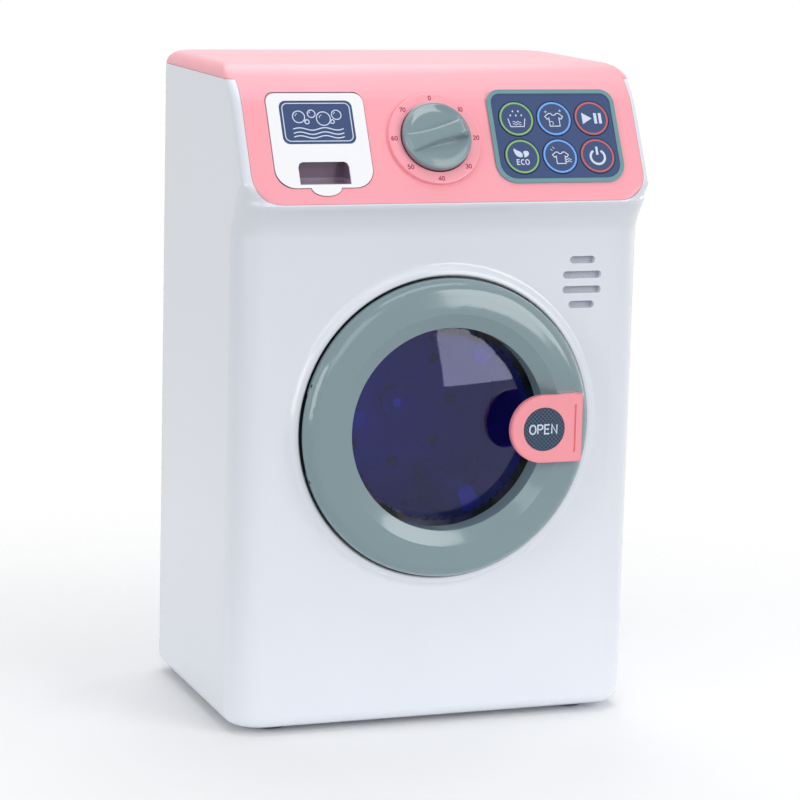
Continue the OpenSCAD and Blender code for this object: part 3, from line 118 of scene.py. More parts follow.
grain_group, given, made = new_group(
    "moulded grain",
    [("Dark tone", "Color"), ("Light tone", "Color"), ("Least roughness", "Float"),
     ("Most roughness", "Float"), ("Grain", "Float"), ("Grain size", "Float")],
    [("Colour", "Color"), ("Roughness", "Float"), ("Normal", "Vector")])
place = grain_group.nodes.new("ShaderNodeTexCoord")
tint = grain_group.nodes.new("ShaderNodeMix")
tint.data_type = "RGBA"
clouds = noise(grain_group, place, CLOUD_SCALE, 4)
grain_group.links.new(clouds.outputs["Fac"], tint.inputs["Factor"])
grain_group.links.new(given["Dark tone"], tint.inputs["A"])
grain_group.links.new(given["Light tone"], tint.inputs["B"])
grain_group.links.new(tint.outputs["Result"], made["Colour"])
gloss = grain_group.nodes.new("ShaderNodeMapRange")
gloss.inputs["From Min"].default_value = 0.35
gloss.inputs["From Max"].default_value = 0.75
patches = noise(grain_group, place, PATCH_SCALE, 3)
grain_group.links.new(patches.outputs["Fac"], gloss.inputs["Value"])
grain_group.links.new(given["Least roughness"], gloss.inputs["To Min"])
grain_group.links.new(given["Most roughness"], gloss.inputs["To Max"])
grain_group.links.new(gloss.outputs["Result"], made["Roughness"])
fine = noise(grain_group, place, 1, 3)
grain_group.links.new(given["Grain size"], fine.inputs["Scale"])
bump = grain_group.nodes.new("ShaderNodeBump")
bump.inputs["Distance"].default_value = BUMP_DEPTH
grain_group.links.new(given["Grain"], bump.inputs["Strength"])
grain_group.links.new(fine.outputs["Fac"], bump.inputs["Height"])
grain_group.links.new(bump.outputs["Normal"], made["Normal"])
print("grain group:", len(grain_group.nodes), "nodes")

# %% [markdown]
# ## Finishes
# One recipe with a few settings covers all the plastics, so they look like one family.
# Colours are written as they look on a screen and turned into the light a shader works in.

# %% One recipe for moulded plastic
def moulded(name, colour, rough=0.22, cloud=0.05, grain=0.02, grain_size=1400, coat=0.0, metal=0.0,
            coat_rough=0.08):
    """A procedural finish: clouded colour, patchy gloss and a fine bump."""
    mat = bpy.data.materials.new(name)
    mat.use_nodes = True
    tree = mat.node_tree
    shader = tree.nodes["Principled BSDF"]
    skin = tree.nodes.new("ShaderNodeGroup")
    skin.node_tree = grain_group
    skin.inputs["Dark tone"].default_value = (*[c * (1 - cloud) for c in colour], 1)
    skin.inputs["Light tone"].default_value = (*[min(1, c * (1 + cloud)) for c in colour], 1)
    skin.inputs["Least roughness"].default_value = rough * 0.92
    skin.inputs["Most roughness"].default_value = min(1, rough * 1.14)
    skin.inputs["Grain"].default_value = grain
    skin.inputs["Grain size"].default_value = grain_size
    tree.links.new(skin.outputs["Colour"], shader.inputs["Base Color"])
    tree.links.new(skin.outputs["Roughness"], shader.inputs["Roughness"])
    tree.links.new(skin.outputs["Normal"], shader.inputs["Normal"])
    shader.inputs["Metallic"].default_value = metal
    shader.inputs["Coat Weight"].default_value = coat
    shader.inputs["Coat Roughness"].default_value = coat_rough
    return mat


def linear(r, g, b):
    """Screen colour, 0 to 255, as the linear light that a shader works in."""
    parts = [c / 255 for c in (r, g, b)]
    return tuple(c / 12.92 if c <= 0.04045 else ((c + 0.055) / 1.055) ** 2.4 for c in parts)


finish = {
    "white_shell": moulded("white shell", linear(231, 235, 243), rough=0.20, cloud=0.010, coat=0.3),
    "pink_shell": moulded("pink shell", linear(255, 168, 180), rough=0.36, cloud=0.012, coat=0.12,
                          coat_rough=0.26),
    "pink_handle": moulded("pink handle", linear(255, 159, 169), rough=0.22, cloud=0.02, coat=0.2),
    "teal_plastic": moulded("teal plastic", linear(124, 148, 154), rough=0.14, cloud=0.02, coat=0.5),
    "dark_plastic": moulded("dark plastic", linear(38, 48, 56), rough=0.35, cloud=0.06, grain=0.06),
    "navy_print": moulded("navy print", linear(50, 72, 118), rough=0.26, cloud=0.05),
    "key_cap": moulded("key cap", linear(50, 72, 118), rough=0.28, cloud=0.05),
    "drum_grey": moulded("drum grey", linear(150, 158, 186), rough=0.38, cloud=0.04, grain=0.05),
    "inner_white": moulded("inner white", linear(222, 223, 228), rough=0.42, cloud=0.03, grain=0.05),
    "rubber_foot": moulded("rubber", linear(96, 98, 104), rough=0.72, cloud=0.08, grain=0.25),
    "steel": moulded("steel", linear(196, 198, 204), rough=0.30, cloud=0.05, metal=1.0),
    "brass": moulded("brass", linear(206, 176, 104), rough=0.30, cloud=0.07, metal=1.0),
    "board_green": moulded("board green", linear(24, 96, 58), rough=0.40, cloud=0.10),
    "black_part": moulded("black part", linear(30, 30, 33), rough=0.45, cloud=0.15, grain=0.08),
    "battery_wrap": moulded("battery wrap", linear(58, 62, 72), rough=0.28, cloud=0.08, metal=0.3),
    "lead_cover": moulded("lead cover", linear(150, 34, 38), rough=0.42, cloud=0.08),
}
print("plastics and metals mixed:", len(finish))

# %% [markdown]
# ## Tinted window
# The window is a shallow dome of clear plastic dyed navy. Dye swallows light on its way
# through, so the drum behind shows only faintly while the outer face mirrors the room.
# A clear shader tinted navy, with a near-mirror face, gives both at little cost.

# %% Window and speaker cloth
def tinted_window():
    """Navy-dyed clear plastic: a coloured see-through layer under a mirror-like face."""
    mat = bpy.data.materials.new("tinted window")
    mat.use_nodes = True
    tree = mat.node_tree
    shader = tree.nodes["Principled BSDF"]
    shader.inputs["Transmission Weight"].default_value = 1.0
    shader.inputs["Metallic"].default_value = 0.0
    shader.inputs["IOR"].default_value = 1.45
    place = tree.nodes.new("ShaderNodeTexCoord")
    smear = noise(tree, place, 30, 5)
    tint = tree.nodes.new("ShaderNodeMix")
    tint.data_type = "RGBA"
    tint.inputs["A"].default_value = (0.10, 0.12, 0.64, 1)
    tint.inputs["B"].default_value = (0.12, 0.14, 0.70, 1)
    tree.links.new(smear.outputs["Fac"], tint.inputs["Factor"])
    tree.links.new(tint.outputs["Result"], shader.inputs["Base Color"])
    gloss = tree.nodes.new("ShaderNodeMapRange")
    gloss.inputs["To Min"].default_value = 0.0
    gloss.inputs["To Max"].default_value = 0.05
    tree.links.new(smear.outputs["Fac"], gloss.inputs["Value"])
    tree.links.new(gloss.outputs["Result"], shader.inputs["Roughness"])
    return mat


def woven_cloth():
    """Thin speaker cloth: two crossing sets of threads."""
    mat = moulded("speaker cloth", linear(190, 194, 204), rough=0.85, cloud=0.05, grain=0.1)
    tree = mat.node_tree
    shader = tree.nodes["Principled BSDF"]
    place = tree.nodes.new("ShaderNodeTexCoord")
    bump = tree.nodes.new("ShaderNodeBump")
    bump.inputs["Strength"].default_value = 0.6
    bump.inputs["Distance"].default_value = BUMP_DEPTH
    rows = []
    for direction in ("X", "Z"):
        wave = tree.nodes.new("ShaderNodeTexWave")
        wave.bands_direction = direction
        wave.inputs["Scale"].default_value = 420
        tree.links.new(place.outputs["Object"], wave.inputs["Vector"])
        rows.append(wave)
    weave = tree.nodes.new("ShaderNodeMath")
    weave.operation = "MULTIPLY"
    tree.links.new(rows[0].outputs["Fac"], weave.inputs[0])
    tree.links.new(rows[1].outputs["Fac"], weave.inputs[1])
    tree.links.new(weave.outputs["Value"], bump.inputs["Height"])
    tree.links.new(bump.outputs["Normal"], shader.inputs["Normal"])
    return mat


finish["tinted_lens"] = tinted_window()
finish["speaker_cloth"] = woven_cloth()
print("window and cloth mixed")

# %% [markdown]
# ## Painted shade in a notch and a gap, and a printed badge
# Two mouldings get painted shade where a recess or a narrow gap lies in shadow. A mask that is one between two
# distances picks the place out, and the shade colour is laid over the first where all the masks meet.
# The finger notch of the drawer gets a dull mauve painted shade, paler on its bottom ledge, and the narrow gap round
# the door gets a dark painted shade.
# The badge on the handle is printed with two sets of crossing hair lines on navy.

# %% Painted notch shade, painted door gap shade, frame and badge finishes
NOTCH_SHADE = {"middle": -53.4, "half_width": 10.75, "low": 224.9, "high": 233.7, "deep": -0.5, "shelf": 226.6}
GAP_SHADE = {"ring_edge": 60.2, "shell_edge": 59.4, "far": 62.4, "on_ring": 2.1, "on_shell": 1.6, "behind": 2.0}


band_group, given, made = new_group(
    "band mask", [("Length", "Float"), ("From", "Float"), ("To", "Float")], [("Mask", "Float")])
steps = {}
for operation in ("GREATER_THAN", "LESS_THAN", "MULTIPLY"):
    steps[operation] = band_group.nodes.new("ShaderNodeMath")
    steps[operation].operation = operation
for side, (operation, limit) in enumerate((("GREATER_THAN", "From"), ("LESS_THAN", "To"))):
    band_group.links.new(given["Length"], steps[operation].inputs[0])
    band_group.links.new(given[limit], steps[operation].inputs[1])
    band_group.links.new(steps[operation].outputs["Value"], steps["MULTIPLY"].inputs[side])
band_group.links.new(steps["MULTIPLY"].outputs["Value"], made["Mask"])


def within(tree, value, low_end, high_end):
    """One where a length lies between two ends, nought elsewhere."""
    band = tree.nodes.new("ShaderNodeGroup")
    band.node_tree = band_group
    band.inputs["From"].default_value = low_end * MM
    band.inputs["To"].default_value = high_end * MM
    tree.links.new(value, band.inputs["Length"])
    return band.outputs["Mask"]


def paint_where(mat, masks, colour):
    """Lays a second colour over a plastic where all the masks are one; here that colour is painted shade."""
    tree = mat.node_tree
    shader = tree.nodes["Principled BSDF"]
    plain = shader.inputs["Base Color"].links[0].from_socket
    chosen = masks[0]
    for mask in masks[1:]:
        both = tree.nodes.new("ShaderNodeMath")
        both.operation = "MULTIPLY"
        tree.links.new(chosen, both.inputs[0])
        tree.links.new(mask, both.inputs[1])
        chosen = both.outputs["Value"]
    shade = tree.nodes.new("ShaderNodeMix")
    shade.data_type = "RGBA"
    shade.inputs["B"].default_value = (*colour, 1)
    tree.links.new(chosen, shade.inputs["Factor"])
    tree.links.new(plain, shade.inputs["A"])
    tree.links.new(shade.outputs["Result"], shader.inputs["Base Color"])


def painted_gap_shade(mat, near, rise):
    """Paints shade on a plastic where it lines the narrow gap round the door, where shadow falls."""
    tree = mat.node_tree
    place = tree.nodes.new("ShaderNodeTexCoord")
    flat = tree.nodes.new("ShaderNodeMapping")
    flat.inputs["Location"].default_value = (0, 0, -DOOR_Z * MM)
    flat.inputs["Scale"].default_value = (1, 0, 1)
    tree.links.new(place.outputs["Object"], flat.inputs["Vector"])
    from_axis = tree.nodes.new("ShaderNodeVectorMath")
    from_axis.operation = "LENGTH"
    tree.links.new(flat.outputs["Vector"], from_axis.inputs[0])
    axes = tree.nodes.new("ShaderNodeSeparateXYZ")
    tree.links.new(place.outputs["Object"], axes.inputs["Vector"])
    masks = [within(tree, from_axis.outputs["Value"], near, GAP_SHADE["far"]),
             within(tree, axes.outputs["Y"], FRONT_Y - rise, FRONT_Y + GAP_SHADE["behind"])]
    # painted shade: this dark colour stands in for the shadow in the gap round the door
    paint_where(mat, masks, linear(38, 48, 54))
    return mat


def drawer_with_painted_notch_shade():
    """White shell plastic with a dull mauve painted shade in its finger notch, paler on the notch's bottom ledge."""
    mat = moulded("drawer shell", linear(250, 251, 255), rough=0.20, cloud=0.010, coat=0.3)
    tree = mat.node_tree
    place = tree.nodes.new("ShaderNodeTexCoord")
    axes = tree.nodes.new("ShaderNodeSeparateXYZ")
    tree.links.new(place.outputs["Object"], axes.inputs["Vector"])
    depth = tree.nodes.new("ShaderNodeVectorMath")
    depth.operation = "DOT_PRODUCT"
    outward = panel_frame.to_3x3() @ Vector((0, 0, 1))
    depth.inputs[1].default_value = outward
    tree.links.new(place.outputs["Object"], depth.inputs[0])
    face = outward.dot(panel_frame.translation) / MM
    masks = [within(tree, depth.outputs["Value"], face - 30, face + NOTCH_SHADE["deep"]),
             within(tree, axes.outputs["X"], NOTCH_SHADE["middle"] - NOTCH_SHADE["half_width"],
                    NOTCH_SHADE["middle"] + NOTCH_SHADE["half_width"]),
             within(tree, axes.outputs["Z"], NOTCH_SHADE["low"], NOTCH_SHADE["high"])]
    # painted shade: a dull mauve where the finger notch's recess lies in shadow
    paint_where(mat, masks, linear(116, 92, 118))
    # a paler painted shade over the notch's bottom ledge, where more light falls
    masks[2] = within(tree, axes.outputs["Z"], NOTCH_SHADE["low"], NOTCH_SHADE["shelf"])
    paint_where(mat, masks, linear(156, 136, 158))
    return mat


def checked_badge():
    """Navy print under two sets of crossing hair lines."""
    mat = moulded("badge print", linear(20, 34, 66), rough=0.26, cloud=0.05)
    tree = mat.node_tree
    shader = tree.nodes["Principled BSDF"]
    plain = shader.inputs["Base Color"].links[0].from_socket
    place = tree.nodes.new("ShaderNodeTexCoord")
    turn = tree.nodes.new("ShaderNodeMapping")
    turn.inputs["Rotation"].default_value = (0, math.radians(45), 0)
    tree.links.new(place.outputs["Object"], turn.inputs["Vector"])
    lines = []
    for direction in ("X", "Z"):
        wave = tree.nodes.new("ShaderNodeTexWave")
        wave.bands_direction = direction
        wave.inputs["Scale"].default_value = 260
        tree.links.new(turn.outputs["Vector"], wave.inputs["Vector"])
        thin = tree.nodes.new("ShaderNodeMapRange")
        thin.inputs["From Min"].default_value = 0.82
        thin.inputs["From Max"].default_value = 1.0
        tree.links.new(wave.outputs["Fac"], thin.inputs["Value"])
        lines.append(thin.outputs["Result"])
    either = tree.nodes.new("ShaderNodeMath")
    either.operation = "MAXIMUM"
    tree.links.new(lines[0], either.inputs[0])
    tree.links.new(lines[1], either.inputs[1])
    print_mix = tree.nodes.new("ShaderNodeMix")
    print_mix.data_type = "RGBA"
    print_mix.inputs["B"].default_value = (*linear(70, 104, 126), 1)
    tree.links.new(either.outputs["Value"], print_mix.inputs["Factor"])
    tree.links.new(plain, print_mix.inputs["A"])
    tree.links.new(print_mix.outputs["Result"], shader.inputs["Base Color"])
    return mat


own_finish = {
    "drawer": drawer_with_painted_notch_shade(),
    "handle_label": checked_badge(),
    "keypad_frame": moulded("frame plastic", linear(106, 152, 158), rough=0.16, cloud=0.02, coat=0.4),
    # The cabinet and the door ring get painted shade in the gap between them.
    "front_shell": painted_gap_shade(
        moulded("cabinet shell", linear(231, 235, 243), rough=0.20, cloud=0.010, coat=0.3),
        GAP_SHADE["shell_edge"], GAP_SHADE["on_shell"]),
    "door_ring": painted_gap_shade(
        moulded("ring plastic", linear(124, 148, 154), rough=0.14, cloud=0.02, coat=0.5),
        GAP_SHADE["ring_edge"], GAP_SHADE["on_ring"]),
}
print("own finishes:", sorted(own_finish))

# %% [markdown]
# ## Dressing the CAD pieces
# Each piece names the finish it takes in its record. Its faces are shaded smooth, and the
# corners sharper than about thirty degrees stay crisp. Large flat faces are given the say
# over the shading at their rims, as they have on a real moulding.

# %% Give every CAD piece its finish and its shading
CREASE = math.radians(28)
slot_of = {part["node"]: part["material_slot"] for part in frame["record"]["subparts"]}

for name, piece in nodes.items():
    piece.data.materials.clear()
    piece.data.materials.append(own_finish.get(name, finish[slot_of[name]]))
    for face in piece.data.polygons:
        face.use_smooth = True
    weld = piece.modifiers.new("join", "WELD")
    weld.merge_threshold = 0.000002
    split = piece.modifiers.new("crease", "EDGE_SPLIT")
    split.split_angle = CREASE
    even = piece.modifiers.new("even", "WEIGHTED_NORMAL")
    even.mode = "FACE_AREA"
print("dressed", len(nodes), "pieces")

# %% [markdown]
# ## Printed marks
# Ink on a toy is a thin film, a few hundredths of a millimetre thick. Each mark here, and one painted
# shadow ring round the knob's foot, is a thin raised shape on its face, cut from ribbons, bands and small filled
# outlines.
# A ribbon follows a line of points and keeps its width round the bends.

# %% Ribbons, bands and filled outlines
INK = 0.05
ARC_STEPS = 48


def side_points(points, width, closed):
    """The two edges of a ribbon, pushed out sideways from its middle line."""
    left, right = [], []
    count = len(points)
    for i, here in enumerate(points):
        before = points[i - 1] if (i or closed) else here
        after = points[(i + 1) % count] if (i + 1 < count or closed) else here
        a = Vector((here[0] - before[0], here[1] - before[1]))
        b = Vector((after[0] - here[0], after[1] - here[1]))
        a = a.normalized() if a.length else b.normalized()
        b = b.normalized() if b.length else a
        normal = Vector((-(a.y + b.y), a.x + b.x))
        normal = normal.normalized() if normal.length > 0.001 else Vector((-a.y, a.x))
        reach = width / 2 / max(0.5, normal.dot(Vector((-a.y, a.x))))
        left.append((here[0] + normal.x * reach, here[1] + normal.y * reach))
        right.append((here[0] - normal.x * reach, here[1] - normal.y * reach))
    return left, right


def raise_ink(bm, face, flat, ink, paint):
    """Gives a flat shape of ink its thickness."""
    grown = bmesh.ops.extrude_face_region(bm, geom=flat)["geom"]
    tops = [part for part in grown if isinstance(part, bmesh.types.BMVert)]
    bmesh.ops.translate(bm, vec=face.to_3x3() @ Vector((0, 0, ink * MM)), verts=tops)
    for polygon in flat + [side for top in tops for side in top.link_faces]:
        polygon.material_index = paint


def ribbon(bm, face, points, width, base, closed=False, ink=INK, paint=0):
    """A flat strip of ink along a line, base millimetres out from the face."""
    left, right = side_points(points, width, closed)
    rungs = [[bm.verts.new(at(face, x, y, base)) for x, y in pair] for pair in zip(left, right)]
    following = rungs[1:] + rungs[:1] if closed else rungs[1:]
    flat = [bm.faces.new((a[0], a[1], b[1], b[0])) for a, b in zip(rungs, following)]
    raise_ink(bm, face, flat, ink, paint)


def filled(bm, face, outline, base, ink=INK, paint=0):
    """A filled outline of ink."""
    lid = bm.faces.new([bm.verts.new(at(face, x, y, base)) for x, y in outline])
    raise_ink(bm, face, [lid], ink, paint)


def arc(cx, cy, rx, ry, start=0.0, end=360.0, steps=ARC_STEPS):
    """Points along an ellipse; a whole turn leaves out the doubled last point."""
    whole = abs(end - start) >= 360
    count = steps if whole else steps + 1
    return [(cx + rx * math.cos(math.radians(start + (end - start) * i / steps)),
             cy + ry * math.sin(math.radians(start + (end - start) * i / steps)))
            for i in range(count)]


def make_piece(name, bm, body, materials):
    """Turns a finished bmesh into a piece that rides on a body."""
    bmesh.ops.recalc_face_normals(bm, faces=bm.faces)
    mesh = bpy.data.meshes.new(name)
    bm.to_mesh(mesh)
    bm.free()
    for mat in materials:
        mesh.materials.append(mat)
    piece = bpy.data.objects.new(name, mesh)
    bpy.context.scene.collection.objects.link(piece)
    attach(piece, body)
    print(name, "faces:", len(mesh.polygons))
    return piece


ink_white = moulded("ink white", linear(214, 224, 244), rough=0.35, cloud=0.02)
ink_green = moulded("ink green", linear(136, 190, 104), rough=0.32, cloud=0.04)
ink_blue = moulded("ink blue", linear(112, 176, 255), rough=0.32, cloud=0.04)
ink_red = moulded("ink red", linear(200, 98, 86), rough=0.32, cloud=0.04)
ink_dark = moulded("ink dark", linear(168, 34, 66), rough=0.40, cloud=0.04)
# Not an ink: a dark maroon colour for the painted shadow round the knob's foot.
painted_foot_shadow = moulded("painted foot shadow", linear(84, 26, 42), rough=0.60, cloud=0.04)

# %% [markdown]
# ## Numbers and plain words
# The dial carries plain minutes and the door says how it opens. Each sign is drawn once, as
# pen strokes in a box one unit high, and then set at the size and place it is needed.

# %% Pen strokes for numbers and letters
STROKES = {
    "0": [("ring", 0.3, 0.5, 0.3, 0.5)],
    "1": [[(0.12, 0.78), (0.36, 1), (0.36, 0)]],
    "2": [[(0, 0.78), (0.1, 0.95), (0.3, 1), (0.5, 0.95), (0.6, 0.75), (0.5, 0.55), (0, 0), (0.62, 0)]],
    "3": [[(0.02, 0.9), (0.3, 1), (0.55, 0.85), (0.5, 0.6), (0.25, 0.52), (0.55, 0.42), (0.6, 0.2),
           (0.4, 0.02), (0.15, 0), (0, 0.12)]],
    "4": [[(0.46, 0), (0.46, 1), (0, 0.3), (0.64, 0.3)]],
    "5": [[(0.55, 1), (0.1, 1), (0.05, 0.55), (0.3, 0.62), (0.55, 0.5), (0.6, 0.25), (0.45, 0.03),
           (0.2, 0), (0, 0.1)]],
    "6": [[(0.5, 0.95), (0.3, 1), (0.1, 0.8), (0, 0.4), (0.1, 0.08), (0.3, 0), (0.52, 0.1), (0.6, 0.3),
           (0.5, 0.52), (0.3, 0.58), (0.08, 0.46)]],
    "7": [[(0, 1), (0.6, 1), (0.25, 0)]],
    "O": [("ring", 0.36, 0.5, 0.36, 0.5)],
    "P": [[(0, 0), (0, 1), (0.4, 1), (0.58, 0.88), (0.58, 0.62), (0.4, 0.5), (0, 0.5)]],
    "E": [[(0.55, 1), (0, 1), (0, 0), (0.55, 0)], [(0, 0.52), (0.48, 0.52)]],
    "N": [[(0, 0), (0, 1), (0.6, 0), (0.6, 1)]],
    "C": [("bow", 0.36, 0.5, 0.36, 0.5)],
}
ADVANCE = {"1": 0.62, "O": 0.96, "C": 0.92}


def write(bm, face, word, cx, cy, height, pen, base, paint=0):
    """Sets a word in pen strokes with its middle at (cx, cy)."""
    steps = [ADVANCE.get(sign, 0.84) for sign in word]
    x = cx - (sum(steps) - 0.22) * height / 2
    for sign, step in zip(word, steps):
        for stroke in STROKES[sign]:
            if stroke[0] in ("ring", "bow"):
                _, mx, my, rx, ry = stroke
                whole = stroke[0] == "ring"
                line = arc(mx, my, rx, ry, 0 if whole else 48, 360 if whole else 312, 20)
            else:
                line, whole = stroke, False
            placed = [(x + px * height, cy - height / 2 + py * height) for px, py in line]
            ribbon(bm, face, placed, pen, base, closed=whole, paint=paint)
        x += step * height


KNOB_U, KNOB_V = -5.3, 27.0
DIAL_TOP = 1.8
NUMBER_RING = 17.4
FOOT_SHADOW_R = 14.5
bm = bmesh.new()
for i, minutes in enumerate(("0", "10", "20", "30", "40", "50", "60", "70")):
    angle = math.radians(90 - 45 * i)
    write(bm, panel_frame, minutes, KNOB_U + NUMBER_RING * math.cos(angle),
          KNOB_V + NUMBER_RING * math.sin(angle), 1.7, 0.34, DIAL_TOP)
# A thin dark ring round the knob's foot is painted shadow, standing in for where the knob shades the dial plate.
ribbon(bm, panel_frame, arc(KNOB_U, KNOB_V, FOOT_SHADOW_R, FOOT_SHADOW_R, steps=96), 0.5, DIAL_TOP, closed=True, paint=1)
make_piece("dial_numbers_and_foot_shadow", bm, "cabinet", [ink_dark, painted_foot_shadow])

# %% [markdown]
# ## Marks on the six keys
# Two keys wash, two dry, one starts and one switches off. Each has a coloured ring near its
# edge and a white sign inside. The ring and the sign ride on their own key, so they sink with it.

# %% Key rings and signs
KEY_U, KEY_V, KEY_PITCH = 47.9, 27.4, 16.5
KEY_FACE = 0.5
RING_R, RING_W = 6.85, 0.72
PEN = 0.38

SHIRT = [(-1.2, 2.7), (-2.3, 2.7), (-4.1, 1.3), (-3.2, 0.0), (-2.3, 0.6), (-2.3, -3.2), (2.3, -3.2),
         (2.3, 0.6), (3.2, 0.0), (4.1, 1.3), (2.3, 2.7), (1.2, 2.7), (0.8, 2.1), (0, 1.8), (-0.8, 2.1)]


def moved(points, dx, dy, size=1.0):
    return [(x * size + dx, y * size + dy) for x, y in points]


def drop(cx, cy, r):
    """A falling drop: round below, drawn out to a point above."""
    return [(cx, cy + 2.1 * r)] + [(cx + r * math.cos(math.radians(a)), cy + r * math.sin(math.radians(a)))
                                   for a in range(150, 391, 24)]


def wave(cx, cy, length, height):
    return [(cx + length * (i / 16 - 0.5), cy + height * math.sin(i / 16 * 4 * math.pi)) for i in range(17)]


def sign_wash(bm, x, y):
    ribbon(bm, panel_frame, moved([(-3.7, 0.1), (-2.9, -3.4), (2.9, -3.4), (3.7, 0.1)], x, y), PEN, KEY_FACE, paint=1)
    for rise in (-1.4, -2.4):
        ribbon(bm, panel_frame, wave(x, y + rise, 3.6, 0.3), PEN * 0.7, KEY_FACE, paint=1)
    for dx, dy in ((-1.2, 3.2), (1.2, 3.2), (-2.4, 1.4), (0, 1.4), (2.4, 1.4)):
        filled(bm, panel_frame, drop(x + dx, y + dy, 0.34), KEY_FACE, paint=1)


def sign_rinse(bm, x, y):
    ribbon(bm, panel_frame, moved(SHIRT, x, y - 0.3, 0.95), PEN, KEY_FACE, closed=True, paint=1)
    ribbon(bm, panel_frame, arc(x - 1.4, y - 2.0, 0.8, 0.8, -60, 200, 14), PEN * 0.7, KEY_FACE, paint=1)
    for dx, dy in ((3.0, 3.4), (-3.3, 3.0)):
        ribbon(bm, panel_frame, [(x + dx - 0.6, y + dy), (x + dx + 0.6, y + dy)], PEN * 0.6, KEY_FACE, paint=1)
        ribbon(bm, panel_frame, [(x + dx, y + dy - 0.6), (x + dx, y + dy + 0.6)], PEN * 0.6, KEY_FACE, paint=1)


def sign_play(bm, x, y):
    filled(bm, panel_frame, moved([(-4.1, 2.5), (-4.1, -2.5), (0.1, 0)], x, y), KEY_FACE, paint=1)
    for dx in (1.1, 3.2):
        filled(bm, panel_frame, moved([(dx, -2.3), (dx + 1.25, -2.3), (dx + 1.25, 2.3), (dx, 2.3)], x, y),
               KEY_FACE, paint=1)


LEFT_LEAF = [(-3.3, 3.6), (-2.0, 2.7), (-0.8, 2.2), (0.0, 1.5), (0.3, 0.6), (0.0, -0.2), (-1.2, -0.3), (-2.4, 0.3),
             (-3.1, 1.4), (-3.4, 2.6)]
RIGHT_LEAF = [(0.7, 2.2), (1.6, 2.5), (2.7, 2.3), (3.1, 1.5), (2.8, 0.6), (1.8, -0.2), (0.7, -0.4), (0.9, 0.6),
              (0.6, 1.5)]


def sign_eco(bm, x, y):
    for leaf in (LEFT_LEAF, RIGHT_LEAF):
        filled(bm, panel_frame, moved(leaf, x, y), KEY_FACE, paint=1)
    write(bm, panel_frame, "ECO", x, y - 2.4, 2.1, 0.42, KEY_FACE, paint=1)


def sign_dry(bm, x, y):
    ribbon(bm, panel_frame, moved(SHIRT, x + 0.2, y - 0.5, 0.85), PEN, KEY_FACE, closed=True, paint=1)
    for dx, dy in ((-3.4, 2.8), (-2.4, 3.7)):
        ribbon(bm, panel_frame, [(x + dx - 0.4, y + dy + 0.4), (x + dx + 0.4, y + dy - 0.4)], PEN * 0.7, KEY_FACE, paint=1)
    for rise in (-1.3, -2.3):
        ribbon(bm, panel_frame, wave(x + 3.2, y + rise, 3.0, 0.25), PEN * 0.8, KEY_FACE, paint=1)


def sign_power(bm, x, y):
    ribbon(bm, panel_frame, arc(x, y - 0.5, 3.1, 3.1, 122, 418, 36), 0.95, KEY_FACE, paint=1)
    ribbon(bm, panel_frame, [(x, y + 0.4), (x, y + 4.0)], 0.95, KEY_FACE, paint=1)


SIGNS = (sign_wash, sign_rinse, sign_play, sign_eco, sign_dry, sign_power)
for i, sign in enumerate(SIGNS):
    x = KEY_U + (i % 3 - 1) * KEY_PITCH
    y = KEY_V + (0.5 if i < 3 else -0.5) * KEY_PITCH
    bm = bmesh.new()
    ribbon(bm, panel_frame, arc(x, y, RING_R, RING_R), RING_W, KEY_FACE, closed=True)
    sign(bm, x, y)
    ring_ink = (ink_green, ink_blue, ink_red)[i % 3]
    make_piece(f"key_{i + 1}_marks", bm, f"key_{i + 1}", [ring_ink, ink_white])

# %% [markdown]
# ## Label on the drawer and badge on the handle
# The drawer label is a plain picture of soap bubbles over water inside a thin frame.
# The round badge on the handle says how the door opens.

# %% Drawer label and handle badge
LABEL_U, LABEL_V = -53.4, 34.8
LABEL_W, LABEL_H = 30.3, 18.4
LABEL_FACE = 0.35
bm = bmesh.new()


def round_box(cx, cy, w, h, r, steps=6):
    """Outline of a rectangle with rounded corners."""
    points = []
    for sx, sy, start in ((1, 1, 0), (-1, 1, 90), (-1, -1, 180), (1, -1, 270)):
        points += arc(cx + sx * (w / 2 - r), cy + sy * (h / 2 - r), r, r, start, start + 90, steps)
    return points


ribbon(bm, panel_frame, round_box(LABEL_U, LABEL_V, LABEL_W - 2.2, LABEL_H - 2.2, 2.2), 0.4, LABEL_FACE, closed=True)
for dx, dy, r in ((-7.6, 2.3, 2.5), (-2.2, 3.6, 1.6), (2.6, 1.5, 2.9), (8.2, 3.1, 2.0), (-4.4, 0.2, 0.9), (6.2, 0.2, 0.8)):
    ribbon(bm, panel_frame, arc(LABEL_U + dx, LABEL_V + dy, r, r, steps=28), 0.4, LABEL_FACE, closed=True)
    ribbon(bm, panel_frame, arc(LABEL_U + dx, LABEL_V + dy, r * 0.6, r * 0.6, 110, 170, 6), 0.26, LABEL_FACE)
for rise in (-2.9, -4.7, -6.3):
    ribbon(bm, panel_frame, wave(LABEL_U, LABEL_V + rise, 21.0, 0.55), 0.45, LABEL_FACE)
make_piece("drawer_label_marks", bm, "drawer", [ink_white])

BADGE_X, BADGE_FACE = 38.4, 14.65
bm = bmesh.new()
write(bm, door_frame, "OPEN", BADGE_X - 0.4, 0, 3.65, 0.58, BADGE_FACE)
make_piece("handle_badge_word", bm, "door", [ink_white])

# %% [markdown]
# ## Timer knob
# The knob is one moulding: a shallow dish with a rounded rim, and a grip bar that rises from
# the left rim to a high sloped end on the right, with a waist between for the fingers.
# A dish is a turned form, so it is spun from its half section. The bar is a row of rounded
# cross sections joined into a skin.

